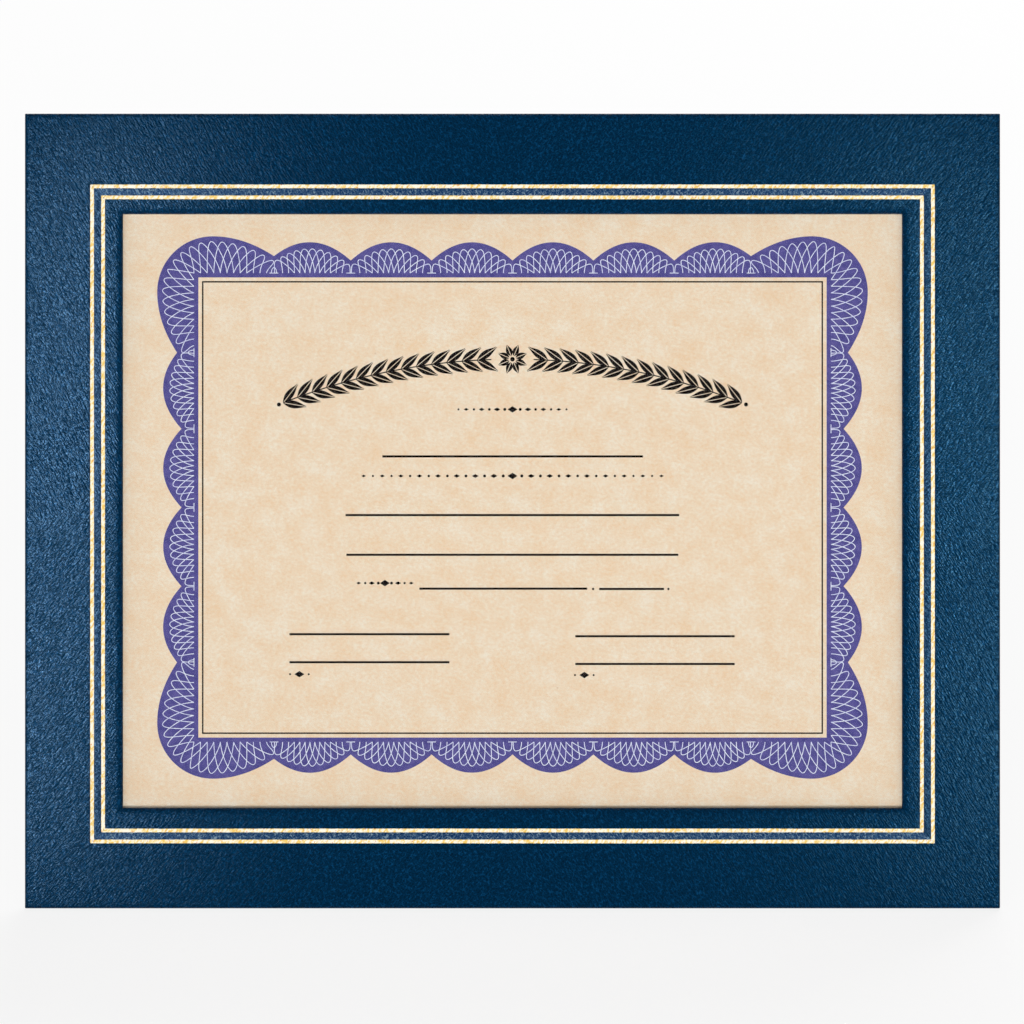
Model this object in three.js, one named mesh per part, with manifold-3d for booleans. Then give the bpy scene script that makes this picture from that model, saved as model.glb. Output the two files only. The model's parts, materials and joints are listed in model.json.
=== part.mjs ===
// A leatherette certificate holder: a padded, foil-ruled picture frame for one landscape letter sheet.
// The sheet slides into a pocket from the top, and a hinged easel leg with a limiting ribbon holds
// the frame leaning back on a table. A swinging wire ring is there for hanging it on a wall.
// Millimetres, +Z up, the front faces -Y. Inside the frame's own group x runs across the frame,
// y runs from the front face (0) to the back, and z runs up the frame from its bottom edge (0).

import * as THREE from 'three';
import { mergeVertices } from 'three/addons/utils/BufferGeometryUtils.js';
import Module from 'manifold-3d';

const wasm = await Module();
wasm.setup();

// The sheet and the border round it
const SHEET_WIDTH = 279.4;
const SHEET_HEIGHT = 215.9;
const SHEET_THICKNESS = 0.3;
const SHEET_LAP = 6.35;          // how much of each edge of the sheet the border hides
const SHEET_SIDE_PLAY = 0.4;     // between the sheet's edges and the pocket's spacers
const BORDER_SIDE = 33.4;
const BORDER_TOP = 34.3;         // also the bottom border

// The layers, front to back, each with a thin line of glue behind it
const GLUE = 0.1;
const COVER_THICKNESS = 0.8;
const FOAM_THICKNESS = 1.0;
const FRONT_BOARD_THICKNESS = 2.0;
const ACETATE_THICKNESS = 0.3;
const POCKET_PLAY = 0.8;         // spare depth behind the sheet
const BACK_BOARD_THICKNESS = 2.0;
const LINER_THICKNESS = 0.4;

// How the cover wraps the front board
const OUTER_EDGE_RADIUS = 1.2;
const WINDOW_EDGE_RADIUS = 1.7;
const OUTER_TURN_IN = 13;
const WINDOW_TURN_IN = 10;
const EDGE_STEPS = 4;            // straight pieces in each rounded edge
const ACETATE_LAP = 5.5;         // how far the clear window reaches behind the border

// Two foil lines, stamped into the cover in shallow grooves
const FOIL_LINE_WIDTH = 1.25;
const FOIL_THICKNESS = 0.15;
const FOIL_OUTER_OFFSET = 10.4;  // from the window's edge to the middle of the outer line
const FOIL_SPACING = 3.76;       // from the middle of one line to the middle of the other
const FOIL_DROP = 1.0;           // the stamping sits this much low on the frame
const FOIL_SINK = 0.05;
const GROOVE_PLAY = 0.1;

// The back board, with a thumb notch that bares the sheet's top edge
const BACK_INSET = 3;
const LINER_INSET = 0.8;
const NOTCH_WIDTH = 44;
const NOTCH_DEPTH = 36;
const REST_GAP = 0.3;            // between a loose piece and what it stands on

// The easel leg and its stance
const LEAN_DEG = 15;
const LEG_OPEN_DEG = 30;
const LEG_TOP_WIDTH = 50;
const LEG_FOOT_WIDTH = 84;
const LEG_TOP_CHAMFER = 6;
const LEG_TOP_GAP = 0.6;         // between the leg's boards and the knuckles
const LEG_BOARD_THICKNESS = 1.6;
const PAPER_THICKNESS = 0.3;
const PAPER_INSET = 0.6;

// The leg's hinge
const LEAF_WIDTH = 40;
const LEAF_LENGTH = 22;
const LEAF_THICKNESS = 0.8;
const LEAF_CORNER = 3;
const KNUCKLES = 5;
const KNUCKLE_GAP = 0.2;
const PIN_RADIUS = 1.3;
const PIN_PLAY = 0.08;
const PIN_HEAD_RADIUS = 1.9;
const PIN_HEAD_LENGTH = 0.7;

// How round things are, and how far a cutting tool runs past what it cuts
const ROUND_SIDES = 24;
const CORNER_STEPS = 8;
const NOTCH_STEPS = 16;
const CUT_PAST = 1;

// The rivets through the leaves and the hanger
const RIVET_SHANK_RADIUS = 1.2;
const RIVET_HEAD_RADIUS = 2.6;
const RIVET_HEAD_HEIGHT = 0.9;
const DOME_STEPS = 6;
const RIVET_TAIL_RADIUS = 2.0;
const RIVET_TAIL_THICKNESS = 0.4;
const RIVET_PLAY = 0.2;
const RIVET_FROM_END = 8;        // from a leaf's free end
const RIVET_SPACING = 24;
const TAIL_SINK = 0.05;          // how far a tail lies below the pocket's back wall

// The ribbon that stops the leg
const RIBBON_WIDTH = 12;
const RIBBON_THICKNESS = 0.3;
const RIBBON_TAB = 16;
const RIBBON_DROP = 112;         // from the pin down to where it leaves the frame and the leg

// The hanger, a strap with an eye and a three-cornered wire ring
const EYE_BELOW_NOTCH = 9.8;
const LEAF_BELOW_STRAP = 5;
const STRAP_WIDTH = 9;
const STRAP_LENGTH = 21;
const STRAP_THICKNESS = 0.6;
const STRAP_CORNER = 2;
const STRAP_RIVET_FROM_END = 6;
const RING_WIRE_RADIUS = 0.8;
const RING_PLAY = 0.1;
const RING_WIDTH = 17;
const RING_HEIGHT = 15;
const RING_CORNER = 2;
const RING_CORNER_STEPS = 5;
const RING_WIRE_SIDES = 8;

// Sizes that follow from the ones above
const WINDOW_WIDTH = SHEET_WIDTH - 2 * SHEET_LAP;
const WINDOW_HEIGHT = SHEET_HEIGHT - 2 * SHEET_LAP;
const WIDTH = WINDOW_WIDTH + 2 * BORDER_SIDE;
const HEIGHT = WINDOW_HEIGHT + 2 * BORDER_TOP;
const MIDDLE = HEIGHT / 2;
const FOAM_Y = COVER_THICKNESS + GLUE;
const FRONT_BOARD_Y = FOAM_Y + FOAM_THICKNESS + GLUE;
const TURN_IN_Y = FRONT_BOARD_Y + FRONT_BOARD_THICKNESS + GLUE;
const COVER_BACK_Y = TURN_IN_Y + COVER_THICKNESS;
const POCKET_Y = COVER_BACK_Y + GLUE;
const SHEET_Y = POCKET_Y + ACETATE_THICKNESS + GLUE;
const SPACER_THICKNESS = ACETATE_THICKNESS + SHEET_THICKNESS + POCKET_PLAY;
const BACK_BOARD_Y = POCKET_Y + SPACER_THICKNESS + GLUE;
const LINER_Y = BACK_BOARD_Y + BACK_BOARD_THICKNESS + GLUE;
const BACK_Y = LINER_Y + LINER_THICKNESS;
const SHEET_BOTTOM = MIDDLE - SHEET_HEIGHT / 2;
const POCKET_HALF = SHEET_WIDTH / 2 + SHEET_SIDE_PLAY;
const KNUCKLE_RADIUS = PIN_RADIUS + PIN_PLAY + LEAF_THICKNESS;
const PIVOT_Y = BACK_Y + GLUE + KNUCKLE_RADIUS;
const NOTCH_BOTTOM = HEIGHT - BACK_INSET - NOTCH_DEPTH;
const EYE_HEIGHT = NOTCH_BOTTOM - EYE_BELOW_NOTCH;
const PIVOT_HEIGHT = EYE_HEIGHT - STRAP_LENGTH - LEAF_BELOW_STRAP - LEAF_LENGTH;
const LEG_START = KNUCKLE_RADIUS + LEG_TOP_GAP;
const LEG_PAPER_OUT = KNUCKLE_RADIUS - LEAF_THICKNESS - GLUE;
const LEG_BOARD_OUT = LEG_PAPER_OUT - PAPER_THICKNESS - GLUE;
const LEG_BOARD_IN = LEG_BOARD_OUT - LEG_BOARD_THICKNESS;
const LEG_IN = LEG_BOARD_IN - GLUE - PAPER_THICKNESS;
const EYE_BORE = RING_WIRE_RADIUS + RING_PLAY;
const EYE_RADIUS = EYE_BORE + STRAP_THICKNESS;
const EYE_Y = BACK_Y + GLUE + EYE_RADIUS;
const RIVET_HOLE = RIVET_SHANK_RADIUS + RIVET_PLAY;
const TAIL_HOLE = RIVET_TAIL_RADIUS + RIVET_PLAY;
const TAIL_POCKET = TAIL_SINK + RIVET_TAIL_THICKNESS + GLUE;
const LEAN = THREE.MathUtils.degToRad(LEAN_DEG);
const LEG_OPEN = THREE.MathUtils.degToRad(LEG_OPEN_DEG);

// Finishes
const finish = (color, roughness, metalness = 0) =>
  new THREE.MeshStandardMaterial({ color, roughness, metalness });
const LEATHERETTE = finish(0x1a4569, 0.55);
const FOIL = finish(0xf4dca8, 0.35, 0.8);
const FOAM = finish(0xd9d6c8, 0.95);
const BOARD = finish(0x9a8f7c, 0.9);
const CARD = finish(0xcfc6b2, 0.9);
const BLACK_PAPER = finish(0x1c1c1e, 0.85);
const PARCHMENT = finish(0xead5b9, 0.8);
const STEEL = finish(0xb9bcc0, 0.35, 1);
const BRASS = finish(0xc9a45a, 0.35, 1);
const RIBBON = finish(0x17181b, 0.7);
const ACETATE = finish(0xeef3f5, 0.1);
ACETATE.transparent = true;
ACETATE.opacity = 0.25;

// Solids and cuts

function toSolid(geometry) {
  const bare = geometry.clone();
  bare.deleteAttribute('normal');
  bare.deleteAttribute('uv');
  const merged = mergeVertices(bare, 1e-4);
  return new wasm.Manifold(new wasm.Mesh({
    numProp: 3,
    vertProperties: new Float32Array(merged.attributes.position.array),
    triVerts: new Uint32Array(merged.index.array),
  }));
}

function toGeometry(solid) {
  const { vertProperties, triVerts } = solid.getMesh();
  const geometry = new THREE.BufferGeometry();
  geometry.setAttribute('position', new THREE.BufferAttribute(vertProperties, 3));
  geometry.setIndex(new THREE.BufferAttribute(triVerts, 1));
  geometry.computeVertexNormals();
  return geometry;
}

const cut = (body, tools) =>
  toGeometry(tools.reduce((solid, tool) => solid.subtract(toSolid(tool)), toSolid(body)));

const join = (pieces) =>
  toGeometry(pieces.slice(1).reduce((solid, piece) => solid.add(toSolid(piece)), toSolid(pieces[0])));

// A flat outline in x and z, thickened from y to y + thickness
function plate(shape, y, thickness, curveSegments = CORNER_STEPS) {
  const options = { depth: thickness, bevelEnabled: false, curveSegments };
  const geometry = new THREE.ExtrudeGeometry(shape, options);
  return geometry.rotateX(Math.PI / 2).translate(0, y + thickness, 0);
}

// A flat outline in y and z, thickened from x0 to x1
function profile(shape, x0, x1) {
  const depth = x1 - x0;
  const curveSegments = ROUND_SIDES / 2;
  const geometry = new THREE.ExtrudeGeometry(shape, { depth, bevelEnabled: false, curveSegments });
  const turn = new THREE.Matrix4().makeBasis(
    new THREE.Vector3(0, 1, 0), new THREE.Vector3(0, 0, 1), new THREE.Vector3(1, 0, 0));
  return geometry.applyMatrix4(turn).translate(x0, 0, 0);
}

const block = ([x0, x1], [y0, y1], [z0, z1]) =>
  new THREE.BoxGeometry(x1 - x0, y1 - y0, z1 - z0).translate((x0 + x1) / 2, (y0 + y1) / 2, (z0 + z1) / 2);

// The tool for a round hole along y, from y0 to y1
const bore = (radius, x, z, y0, y1) =>
  new THREE.CylinderGeometry(radius, radius, y1 - y0, ROUND_SIDES).translate(x, (y0 + y1) / 2, z);

const through = (radius, x, z, y, thickness) => bore(radius, x, z, y - CUT_PAST, y + thickness + CUT_PAST);

// Joins rings of points into one closed band: each ring to the next, and the last to the first
function band(rings) {
  const count = rings[0].length;
  const index = [];
  rings.forEach((ring, i) => {
    const here = i * count;
    const next = ((i + 1) % rings.length) * count;
    for (let j = 0; j < count; j += 1) {
      const k = (j + 1) % count;
      index.push(here + j, here + k, next + k, here + j, next + k, next + j);
    }
  });
  const geometry = new THREE.BufferGeometry().setFromPoints(rings.flat());
  geometry.setIndex(index);
  geometry.computeVertexNormals();
  return geometry;
}

// A picture-frame ring with mitred corners. The section lists rectangles from the back of the outer
// edge, over the front, to the back of the window's edge.
const frameRing = (section) => band(section.map(({ halfWidth, halfHeight, middle, y }) => [
  new THREE.Vector3(-halfWidth, y, middle - halfHeight),
  new THREE.Vector3(halfWidth, y, middle - halfHeight),
  new THREE.Vector3(halfWidth, y, middle + halfHeight),
  new THREE.Vector3(-halfWidth, y, middle + halfHeight),
]));

const fromOuter = (inset, y) =>
  ({ halfWidth: WIDTH / 2 - inset, halfHeight: HEIGHT / 2 - inset, middle: MIDDLE, y });
const fromWindow = (offset, y, drop = 0) => ({
  halfWidth: WINDOW_WIDTH / 2 + offset,
  halfHeight: WINDOW_HEIGHT / 2 + offset,
  middle: MIDDLE - drop,
  y,
});

// The front panel

// Points of a quarter round from the angle a0 to a1, as [inset, y] pairs about a centre
const quarter = (inset, y, radius, a0, a1) => Array.from({ length: EDGE_STEPS + 1 }, (_, i) => {
  const angle = a0 + (a1 - a0) * i / EDGE_STEPS;
  return [inset - radius * Math.cos(angle), y - radius * Math.sin(angle)];
});

function grooveSection(offset) {
  const half = FOIL_LINE_WIDTH / 2 + GROOVE_PLAY;
  const floor = FOIL_SINK + FOIL_THICKNESS + GLUE;
  return [[half, 0], [half, floor], [-half, floor], [-half, 0]]
    .map(([side, y]) => fromWindow(offset + side, y, FOIL_DROP));
}

const FOIL_OFFSETS = { outer: FOIL_OUTER_OFFSET, inner: FOIL_OUTER_OFFSET - FOIL_SPACING };

// Outside of the cover, then back along its inside, one cover thickness further in
function coverSection() {
  const edge = OUTER_EDGE_RADIUS;
  const roll = WINDOW_EDGE_RADIUS;
  const outerBack = quarter(edge, COVER_BACK_Y - edge, edge, -Math.PI / 2, 0);
  const outerFront = quarter(edge, edge, edge, 0, Math.PI / 2);
  const windowFront = quarter(roll, roll, roll, Math.PI / 2, 0);
  const windowInside = quarter(roll, roll, roll - COVER_THICKNESS, 0, Math.PI / 2);
  const outer = ([inset, y]) => fromOuter(inset, y);
  const inner = ([offset, y]) => fromWindow(offset, y);
  return [
    fromOuter(OUTER_TURN_IN, COVER_BACK_Y),
    ...outerBack.map(outer),
    ...outerFront.map(outer),
    ...grooveSection(FOIL_OFFSETS.outer),
    ...grooveSection(FOIL_OFFSETS.inner),
    ...windowFront.map(inner),
    fromWindow(0, COVER_BACK_Y),
    fromWindow(WINDOW_TURN_IN, COVER_BACK_Y),
    fromWindow(WINDOW_TURN_IN, TURN_IN_Y),
    fromWindow(COVER_THICKNESS, TURN_IN_Y),
    ...windowInside.map(inner),
    fromOuter(edge, COVER_THICKNESS),
    fromOuter(COVER_THICKNESS, edge),
    fromOuter(COVER_THICKNESS, TURN_IN_Y),
    fromOuter(OUTER_TURN_IN, TURN_IN_Y),
  ];
}

// A flat frame between the cover's outer edge and its window edge
const flatFrame = (outerInset, windowOffset, y, thickness) => frameRing([
  fromOuter(outerInset, y + thickness),
  fromOuter(outerInset, y),
  fromWindow(windowOffset, y),
  fromWindow(windowOffset, y + thickness),
]);

function foilLine(offset) {
  const half = FOIL_LINE_WIDTH / 2;
  const back = FOIL_SINK + FOIL_THICKNESS;
  return frameRing([[half, back], [half, FOIL_SINK], [-half, FOIL_SINK], [-half, back]]
    .map(([side, y]) => fromWindow(offset + side, y, FOIL_DROP)));
}

// The pocket and the back

function acetate() {
  const x = WINDOW_WIDTH / 2 + ACETATE_LAP;
  const z = WINDOW_HEIGHT / 2 + ACETATE_LAP;
  return block([-x, x], [POCKET_Y, POCKET_Y + ACETATE_THICKNESS], [MIDDLE - z, MIDDLE + z]);
}

const spacer = (x, z) => block(x, [POCKET_Y, POCKET_Y + SPACER_THICKNESS], z);

const sheet = () => block([-SHEET_WIDTH / 2, SHEET_WIDTH / 2], [SHEET_Y, SHEET_Y + SHEET_THICKNESS],
  [SHEET_BOTTOM, SHEET_BOTTOM + SHEET_HEIGHT]);

// The back's outline, notched for a thumb at the top; a deeper inset widens the notch by as much
function backOutline(inset) {
  const x = WIDTH / 2 - inset;
  const notch = NOTCH_WIDTH / 2 + inset - BACK_INSET;
  const notchMiddle = NOTCH_BOTTOM + NOTCH_WIDTH / 2;
  const shape = new THREE.Shape();
  shape.moveTo(-x, inset);
  shape.lineTo(x, inset);
  shape.lineTo(x, HEIGHT - inset);
  shape.lineTo(notch, HEIGHT - inset);
  shape.absarc(0, notchMiddle, notch, 0, -Math.PI, true);
  shape.lineTo(-notch, HEIGHT - inset);
  shape.lineTo(-x, HEIGHT - inset);
  return shape;
}

const LEAF_RIVETS = [-RIVET_SPACING / 2, RIVET_SPACING / 2];
const BACK_RIVETS = [
  ...LEAF_RIVETS.map((x) => ({ x, z: PIVOT_HEIGHT + LEAF_LENGTH - RIVET_FROM_END })),
  { x: 0, z: EYE_HEIGHT - STRAP_LENGTH + STRAP_RIVET_FROM_END },
];

function backBoard() {
  const board = plate(backOutline(BACK_INSET), BACK_BOARD_Y, BACK_BOARD_THICKNESS, NOTCH_STEPS);
  const shanks = BACK_RIVETS.map(({ x, z }) =>
    through(RIVET_HOLE, x, z, BACK_BOARD_Y, BACK_BOARD_THICKNESS));
  const tails = BACK_RIVETS.map(({ x, z }) =>
    bore(TAIL_HOLE, x, z, BACK_BOARD_Y - CUT_PAST, BACK_BOARD_Y + TAIL_POCKET));
  return cut(board, [...shanks, ...tails]);
}

function backLiner() {
  const liner = plate(backOutline(BACK_INSET + LINER_INSET), LINER_Y, LINER_THICKNESS, NOTCH_STEPS);
  return cut(liner, BACK_RIVETS.map(({ x, z }) => through(RIVET_HOLE, x, z, LINER_Y, LINER_THICKNESS)));
}

// A rivet along y: its domed head outside headSeat, its flat tail beyond tailSeat
function rivet(headSeat, tailSeat) {
  const dome = Array.from({ length: DOME_STEPS + 1 }, (_, i) => {
    const angle = i / DOME_STEPS * Math.PI / 2;
    const out = i < DOME_STEPS ? RIVET_HEAD_RADIUS * Math.cos(angle) : 0;
    return new THREE.Vector2(out, headSeat + RIVET_HEAD_HEIGHT * Math.sin(angle));
  });
  const tailEnd = tailSeat - RIVET_TAIL_THICKNESS;
  return new THREE.LatheGeometry([
    new THREE.Vector2(0, tailEnd),
    new THREE.Vector2(RIVET_TAIL_RADIUS, tailEnd),
    new THREE.Vector2(RIVET_TAIL_RADIUS, tailSeat),
    new THREE.Vector2(RIVET_SHANK_RADIUS, tailSeat),
    new THREE.Vector2(RIVET_SHANK_RADIUS, headSeat),
    ...dome,
  ], ROUND_SIDES);
}

// Leaves with rolled knuckles, drawn about their pin, with the leaf up along z on the pin's -y side

function knuckleShape(radius, boreRadius, thickness, stub) {
  const meet = Math.acos(-(radius - thickness) / radius);
  const shape = new THREE.Shape();
  shape.moveTo(-radius, 0);
  shape.lineTo(-radius, stub);
  shape.lineTo(-radius + thickness, stub);
  shape.absarc(0, 0, radius, meet, -Math.PI, true);
  const hole = new THREE.Path();
  hole.absarc(0, 0, boreRadius, 0, 2 * Math.PI, false);
  shape.holes.push(hole);
  return shape;
}

// A rectangle in x and z with its two upper corners rounded
function tongue(halfWidth, z0, z1, corner) {
  const shape = new THREE.Shape();
  shape.moveTo(-halfWidth, z0);
  shape.lineTo(halfWidth, z0);
  shape.absarc(halfWidth - corner, z1 - corner, corner, 0, Math.PI / 2, false);
  shape.absarc(-halfWidth + corner, z1 - corner, corner, Math.PI / 2, Math.PI, false);
  return shape;
}

// The knuckles take turns along the pin: the frame's leaf has the even ones, the leg's the odd ones
function knuckleSpans(first) {
  const pitch = LEAF_WIDTH / KNUCKLES;
  const spans = [];
  for (let i = first; i < KNUCKLES; i += 2) {
    const x = -LEAF_WIDTH / 2 + i * pitch;
    spans.push([x + KNUCKLE_GAP / 2, x + pitch - KNUCKLE_GAP / 2]);
  }
  return spans;
}

function hingeLeaf(firstKnuckle) {
  const leafStart = KNUCKLE_RADIUS + REST_GAP;
  const stub = leafStart + LEAF_THICKNESS;
  const section = knuckleShape(KNUCKLE_RADIUS, PIN_RADIUS + PIN_PLAY, LEAF_THICKNESS, stub);
  const knuckles = knuckleSpans(firstKnuckle).map(([x0, x1]) => profile(section, x0, x1));
  const outline = tongue(LEAF_WIDTH / 2 - KNUCKLE_GAP / 2, leafStart, LEAF_LENGTH, LEAF_CORNER);
  const leaf = join([plate(outline, -KNUCKLE_RADIUS, LEAF_THICKNESS), ...knuckles]);
  return cut(leaf, LEAF_RIVETS.map((x) =>
    through(RIVET_HOLE, x, LEAF_LENGTH - RIVET_FROM_END, -KNUCKLE_RADIUS, LEAF_THICKNESS)));
}

// A pin along x with a flat head at each end
function hingePin() {
  const half = LEAF_WIDTH / 2 + KNUCKLE_GAP;
  const end = half + PIN_HEAD_LENGTH;
  const outline = [[0, -end], [PIN_HEAD_RADIUS, -end], [PIN_HEAD_RADIUS, -half], [PIN_RADIUS, -half],
    [PIN_RADIUS, half], [PIN_HEAD_RADIUS, half], [PIN_HEAD_RADIUS, end], [0, end]];
  const points = outline.map(([r, along]) => new THREE.Vector2(r, along));
  return new THREE.LatheGeometry(points, ROUND_SIDES).rotateZ(-Math.PI / 2);
}

function hangerStrap() {
  const stub = EYE_RADIUS * 2;
  const half = STRAP_WIDTH / 2;
  const eye = profile(knuckleShape(EYE_RADIUS, EYE_BORE, STRAP_THICKNESS, stub), -half, half);
  const outline = tongue(half, stub - STRAP_THICKNESS, STRAP_LENGTH, STRAP_CORNER);
  const strap = join([plate(outline, -EYE_RADIUS, STRAP_THICKNESS), eye]);
  const rivetUp = STRAP_LENGTH - STRAP_RIVET_FROM_END;
  return cut(strap, [through(RIVET_HOLE, 0, rivetUp, -EYE_RADIUS, STRAP_THICKNESS)]);
}

// The wire ring: its straight bar lies on the eye's axis and its point hangs down along -z
function hangerRing() {
  const half = RING_WIDTH / 2;
  const corners = [[half, 0], [-half, 0], [0, -RING_HEIGHT]].map(([x, z]) => new THREE.Vector2(x, z));
  const path = corners.flatMap((corner, i) => {
    const before = corners[(i + 2) % 3].clone().sub(corner).normalize();
    const after = corners[(i + 1) % 3].clone().sub(corner).normalize();
    const halfAngle = Math.acos(before.dot(after)) / 2;
    const inward = before.clone().add(after).normalize();
    const centre = corner.clone().addScaledVector(inward, RING_CORNER / Math.sin(halfAngle));
    const touch = corner.clone().addScaledVector(before, RING_CORNER / Math.tan(halfAngle));
    const start = touch.sub(centre).angle();
    const sweep = Math.PI - 2 * halfAngle;
    return Array.from({ length: RING_CORNER_STEPS + 1 }, (_, k) => {
      const angle = start + sweep * k / RING_CORNER_STEPS;
      const out = new THREE.Vector2(Math.cos(angle), Math.sin(angle));
      return centre.clone().addScaledVector(out, RING_CORNER);
    });
  });
  return band(path.map((point, i) => {
    const before = path[(i + path.length - 1) % path.length];
    const after = path[(i + 1) % path.length];
    const along = after.clone().sub(before).normalize();
    return Array.from({ length: RING_WIRE_SIDES }, (_, k) => {
      const angle = 2 * Math.PI * k / RING_WIRE_SIDES;
      const side = RING_WIRE_RADIUS * Math.cos(angle);
      return new THREE.Vector3(
        point.x + along.y * side, RING_WIRE_RADIUS * Math.sin(angle), point.y - along.x * side);
    });
  }));
}

// The easel leg, drawn about the hinge pin as it hangs closed: down along -z, its outer face to +y

// How high a point of the frame's side view stands once the frame leans back
const leaningHeight = ({ y, z }) => z * Math.cos(LEAN) - y * Math.sin(LEAN);
const TABLE = Math.min(...coverSection().map(({ halfHeight, middle, y }) =>
  leaningHeight({ y, z: middle - halfHeight })));
const LEG_LENGTH = (leaningHeight({ y: PIVOT_Y, z: PIVOT_HEIGHT }) - TABLE) / Math.cos(LEG_OPEN - LEAN);

// The outline runs on below the table, which then cuts the foot level
function legOutline(inset) {
  const top = LEG_TOP_WIDTH / 2 - inset;
  const foot = LEG_FOOT_WIDTH / 2 - inset;
  const chamfer = LEG_TOP_CHAMFER;
  const start = -LEG_START - inset;
  const end = -LEG_LENGTH - CUT_PAST - LEG_BOARD_THICKNESS;
  const shape = new THREE.Shape();
  shape.moveTo(-foot, end);
  shape.lineTo(foot, end);
  shape.lineTo(top, start - chamfer);
  shape.lineTo(top - chamfer, start);
  shape.lineTo(-top + chamfer, start);
  shape.lineTo(-top, start - chamfer);
  return shape;
}

// Everything below the table, seen from the leg as it stands open
function belowTable() {
  const ground = block([-WIDTH, WIDTH], [-HEIGHT, HEIGHT], [TABLE - LEG_LENGTH, TABLE]);
  ground.rotateX(LEAN).translate(0, -PIVOT_Y, -PIVOT_HEIGHT);
  return ground.rotateX(-LEG_OPEN);
}

function legLayer(inset, y, thickness) {
  const holes = LEAF_RIVETS.map((x) => through(RIVET_HOLE, x, RIVET_FROM_END - LEAF_LENGTH, y, thickness));
  return cut(plate(legOutline(inset), y, thickness), [belowTable(), ...holes]);
}

// A strip's outline from its middle line, mitred at the bends, in y and z
function stripShape(points, thickness) {
  const sides = [1, -1].map((side) => points.map((point, i) => {
    const before = points[Math.max(i - 1, 0)];
    const after = points[Math.min(i + 1, points.length - 1)];
    const into = (i > 0 ? point.clone().sub(before) : after.clone().sub(point)).normalize();
    const out = (i < points.length - 1 ? after.clone().sub(point) : into.clone()).normalize();
    const mitre = into.clone().add(out).normalize();
    const normal = new THREE.Vector2(-mitre.y, mitre.x);
    return point.clone().addScaledVector(normal, side * thickness / 2 / mitre.dot(into));
  }));
  return new THREE.Shape([...sides[1], ...sides[0].reverse()]);
}

// The ribbon lies on the liner, crosses straight to the open leg, and lies on the leg's inner face
function limitRibbon() {
  const middle = GLUE + RIBBON_THICKNESS / 2;
  const onLeg = (down) => new THREE.Vector2(LEG_IN - middle, -down)
    .rotateAround(new THREE.Vector2(0, 0), LEG_OPEN)
    .add(new THREE.Vector2(PIVOT_Y, PIVOT_HEIGHT));
  const onFrame = (down) => new THREE.Vector2(BACK_Y + middle, PIVOT_HEIGHT - down);
  const line = [onFrame(RIBBON_DROP - RIBBON_TAB), onFrame(RIBBON_DROP),
    onLeg(RIBBON_DROP), onLeg(RIBBON_DROP + RIBBON_TAB)];
  return profile(stripShape(line, RIBBON_THICKNESS), -RIBBON_WIDTH / 2, RIBBON_WIDTH / 2);
}

// The assembly

const certificateHolder = new THREE.Group();
const frame = new THREE.Group();
const leg = new THREE.Group();
const hanger = new THREE.Group();

function add(group, name, geometry, material, { x = 0, y = 0, z = 0 } = {}) {
  const mesh = new THREE.Mesh(geometry, material);
  mesh.name = name;
  mesh.position.set(x, y, z);
  group.add(mesh);
  return mesh;
}

add(frame, 'leatherette_cover', frameRing(coverSection()), LEATHERETTE);
add(frame, 'gold_foil_line_outer', foilLine(FOIL_OFFSETS.outer), FOIL);
add(frame, 'gold_foil_line_inner', foilLine(FOIL_OFFSETS.inner), FOIL);
add(frame, 'foam_padding',
  flatFrame(OUTER_EDGE_RADIUS + GLUE, WINDOW_EDGE_RADIUS + GLUE, FOAM_Y, FOAM_THICKNESS), FOAM);
add(frame, 'front_board',
  flatFrame(COVER_THICKNESS + GLUE, COVER_THICKNESS + GLUE, FRONT_BOARD_Y, FRONT_BOARD_THICKNESS), BOARD);
add(frame, 'acetate_window', acetate(), ACETATE);

const SPACER_OUT = WIDTH / 2 - BACK_INSET - LINER_INSET;
const SPACER_TOP = HEIGHT - BACK_INSET - LINER_INSET;
const SPACER_BOTTOM = BACK_INSET + LINER_INSET;
add(frame, 'pocket_spacer_left', spacer([-SPACER_OUT, -POCKET_HALF], [SPACER_BOTTOM, SPACER_TOP]), CARD);
add(frame, 'pocket_spacer_right', spacer([POCKET_HALF, SPACER_OUT], [SPACER_BOTTOM, SPACER_TOP]), CARD);
add(frame, 'pocket_spacer_bottom',
  spacer([GLUE - POCKET_HALF, POCKET_HALF - GLUE], [SPACER_BOTTOM, SHEET_BOTTOM - REST_GAP]), CARD);
add(frame, 'certificate', sheet(), PARCHMENT);
add(frame, 'back_board', backBoard(), BOARD);
add(frame, 'back_liner', backLiner(), BLACK_PAPER);

add(frame, 'hinge_frame_leaf', hingeLeaf(0), STEEL, { y: PIVOT_Y, z: PIVOT_HEIGHT });
add(frame, 'hinge_pin', hingePin(), STEEL, { y: PIVOT_Y, z: PIVOT_HEIGHT });
const tailSeat = BACK_BOARD_Y + TAIL_SINK + RIVET_TAIL_THICKNESS;
const leafHeadSeat = BACK_Y + GLUE + LEAF_THICKNESS + GLUE;
const strapHeadSeat = BACK_Y + GLUE + STRAP_THICKNESS + GLUE;
const [leafRivetLeft, leafRivetRight, strapRivet] = BACK_RIVETS;
add(frame, 'hinge_frame_rivet_left', rivet(leafHeadSeat, tailSeat), BRASS, leafRivetLeft);
add(frame, 'hinge_frame_rivet_right', rivet(leafHeadSeat, tailSeat), BRASS, leafRivetRight);
add(frame, 'limit_ribbon', limitRibbon(), RIBBON);

add(frame, 'hanger_strap', hangerStrap().rotateY(Math.PI), STEEL, { y: EYE_Y, z: EYE_HEIGHT });
add(frame, 'hanger_rivet', rivet(strapHeadSeat, tailSeat), BRASS, strapRivet);
hanger.position.set(0, EYE_Y, EYE_HEIGHT);
hanger.rotation.x = LEAN;
add(hanger, 'hanger_ring', hangerRing(), STEEL);
frame.add(hanger);

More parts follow.
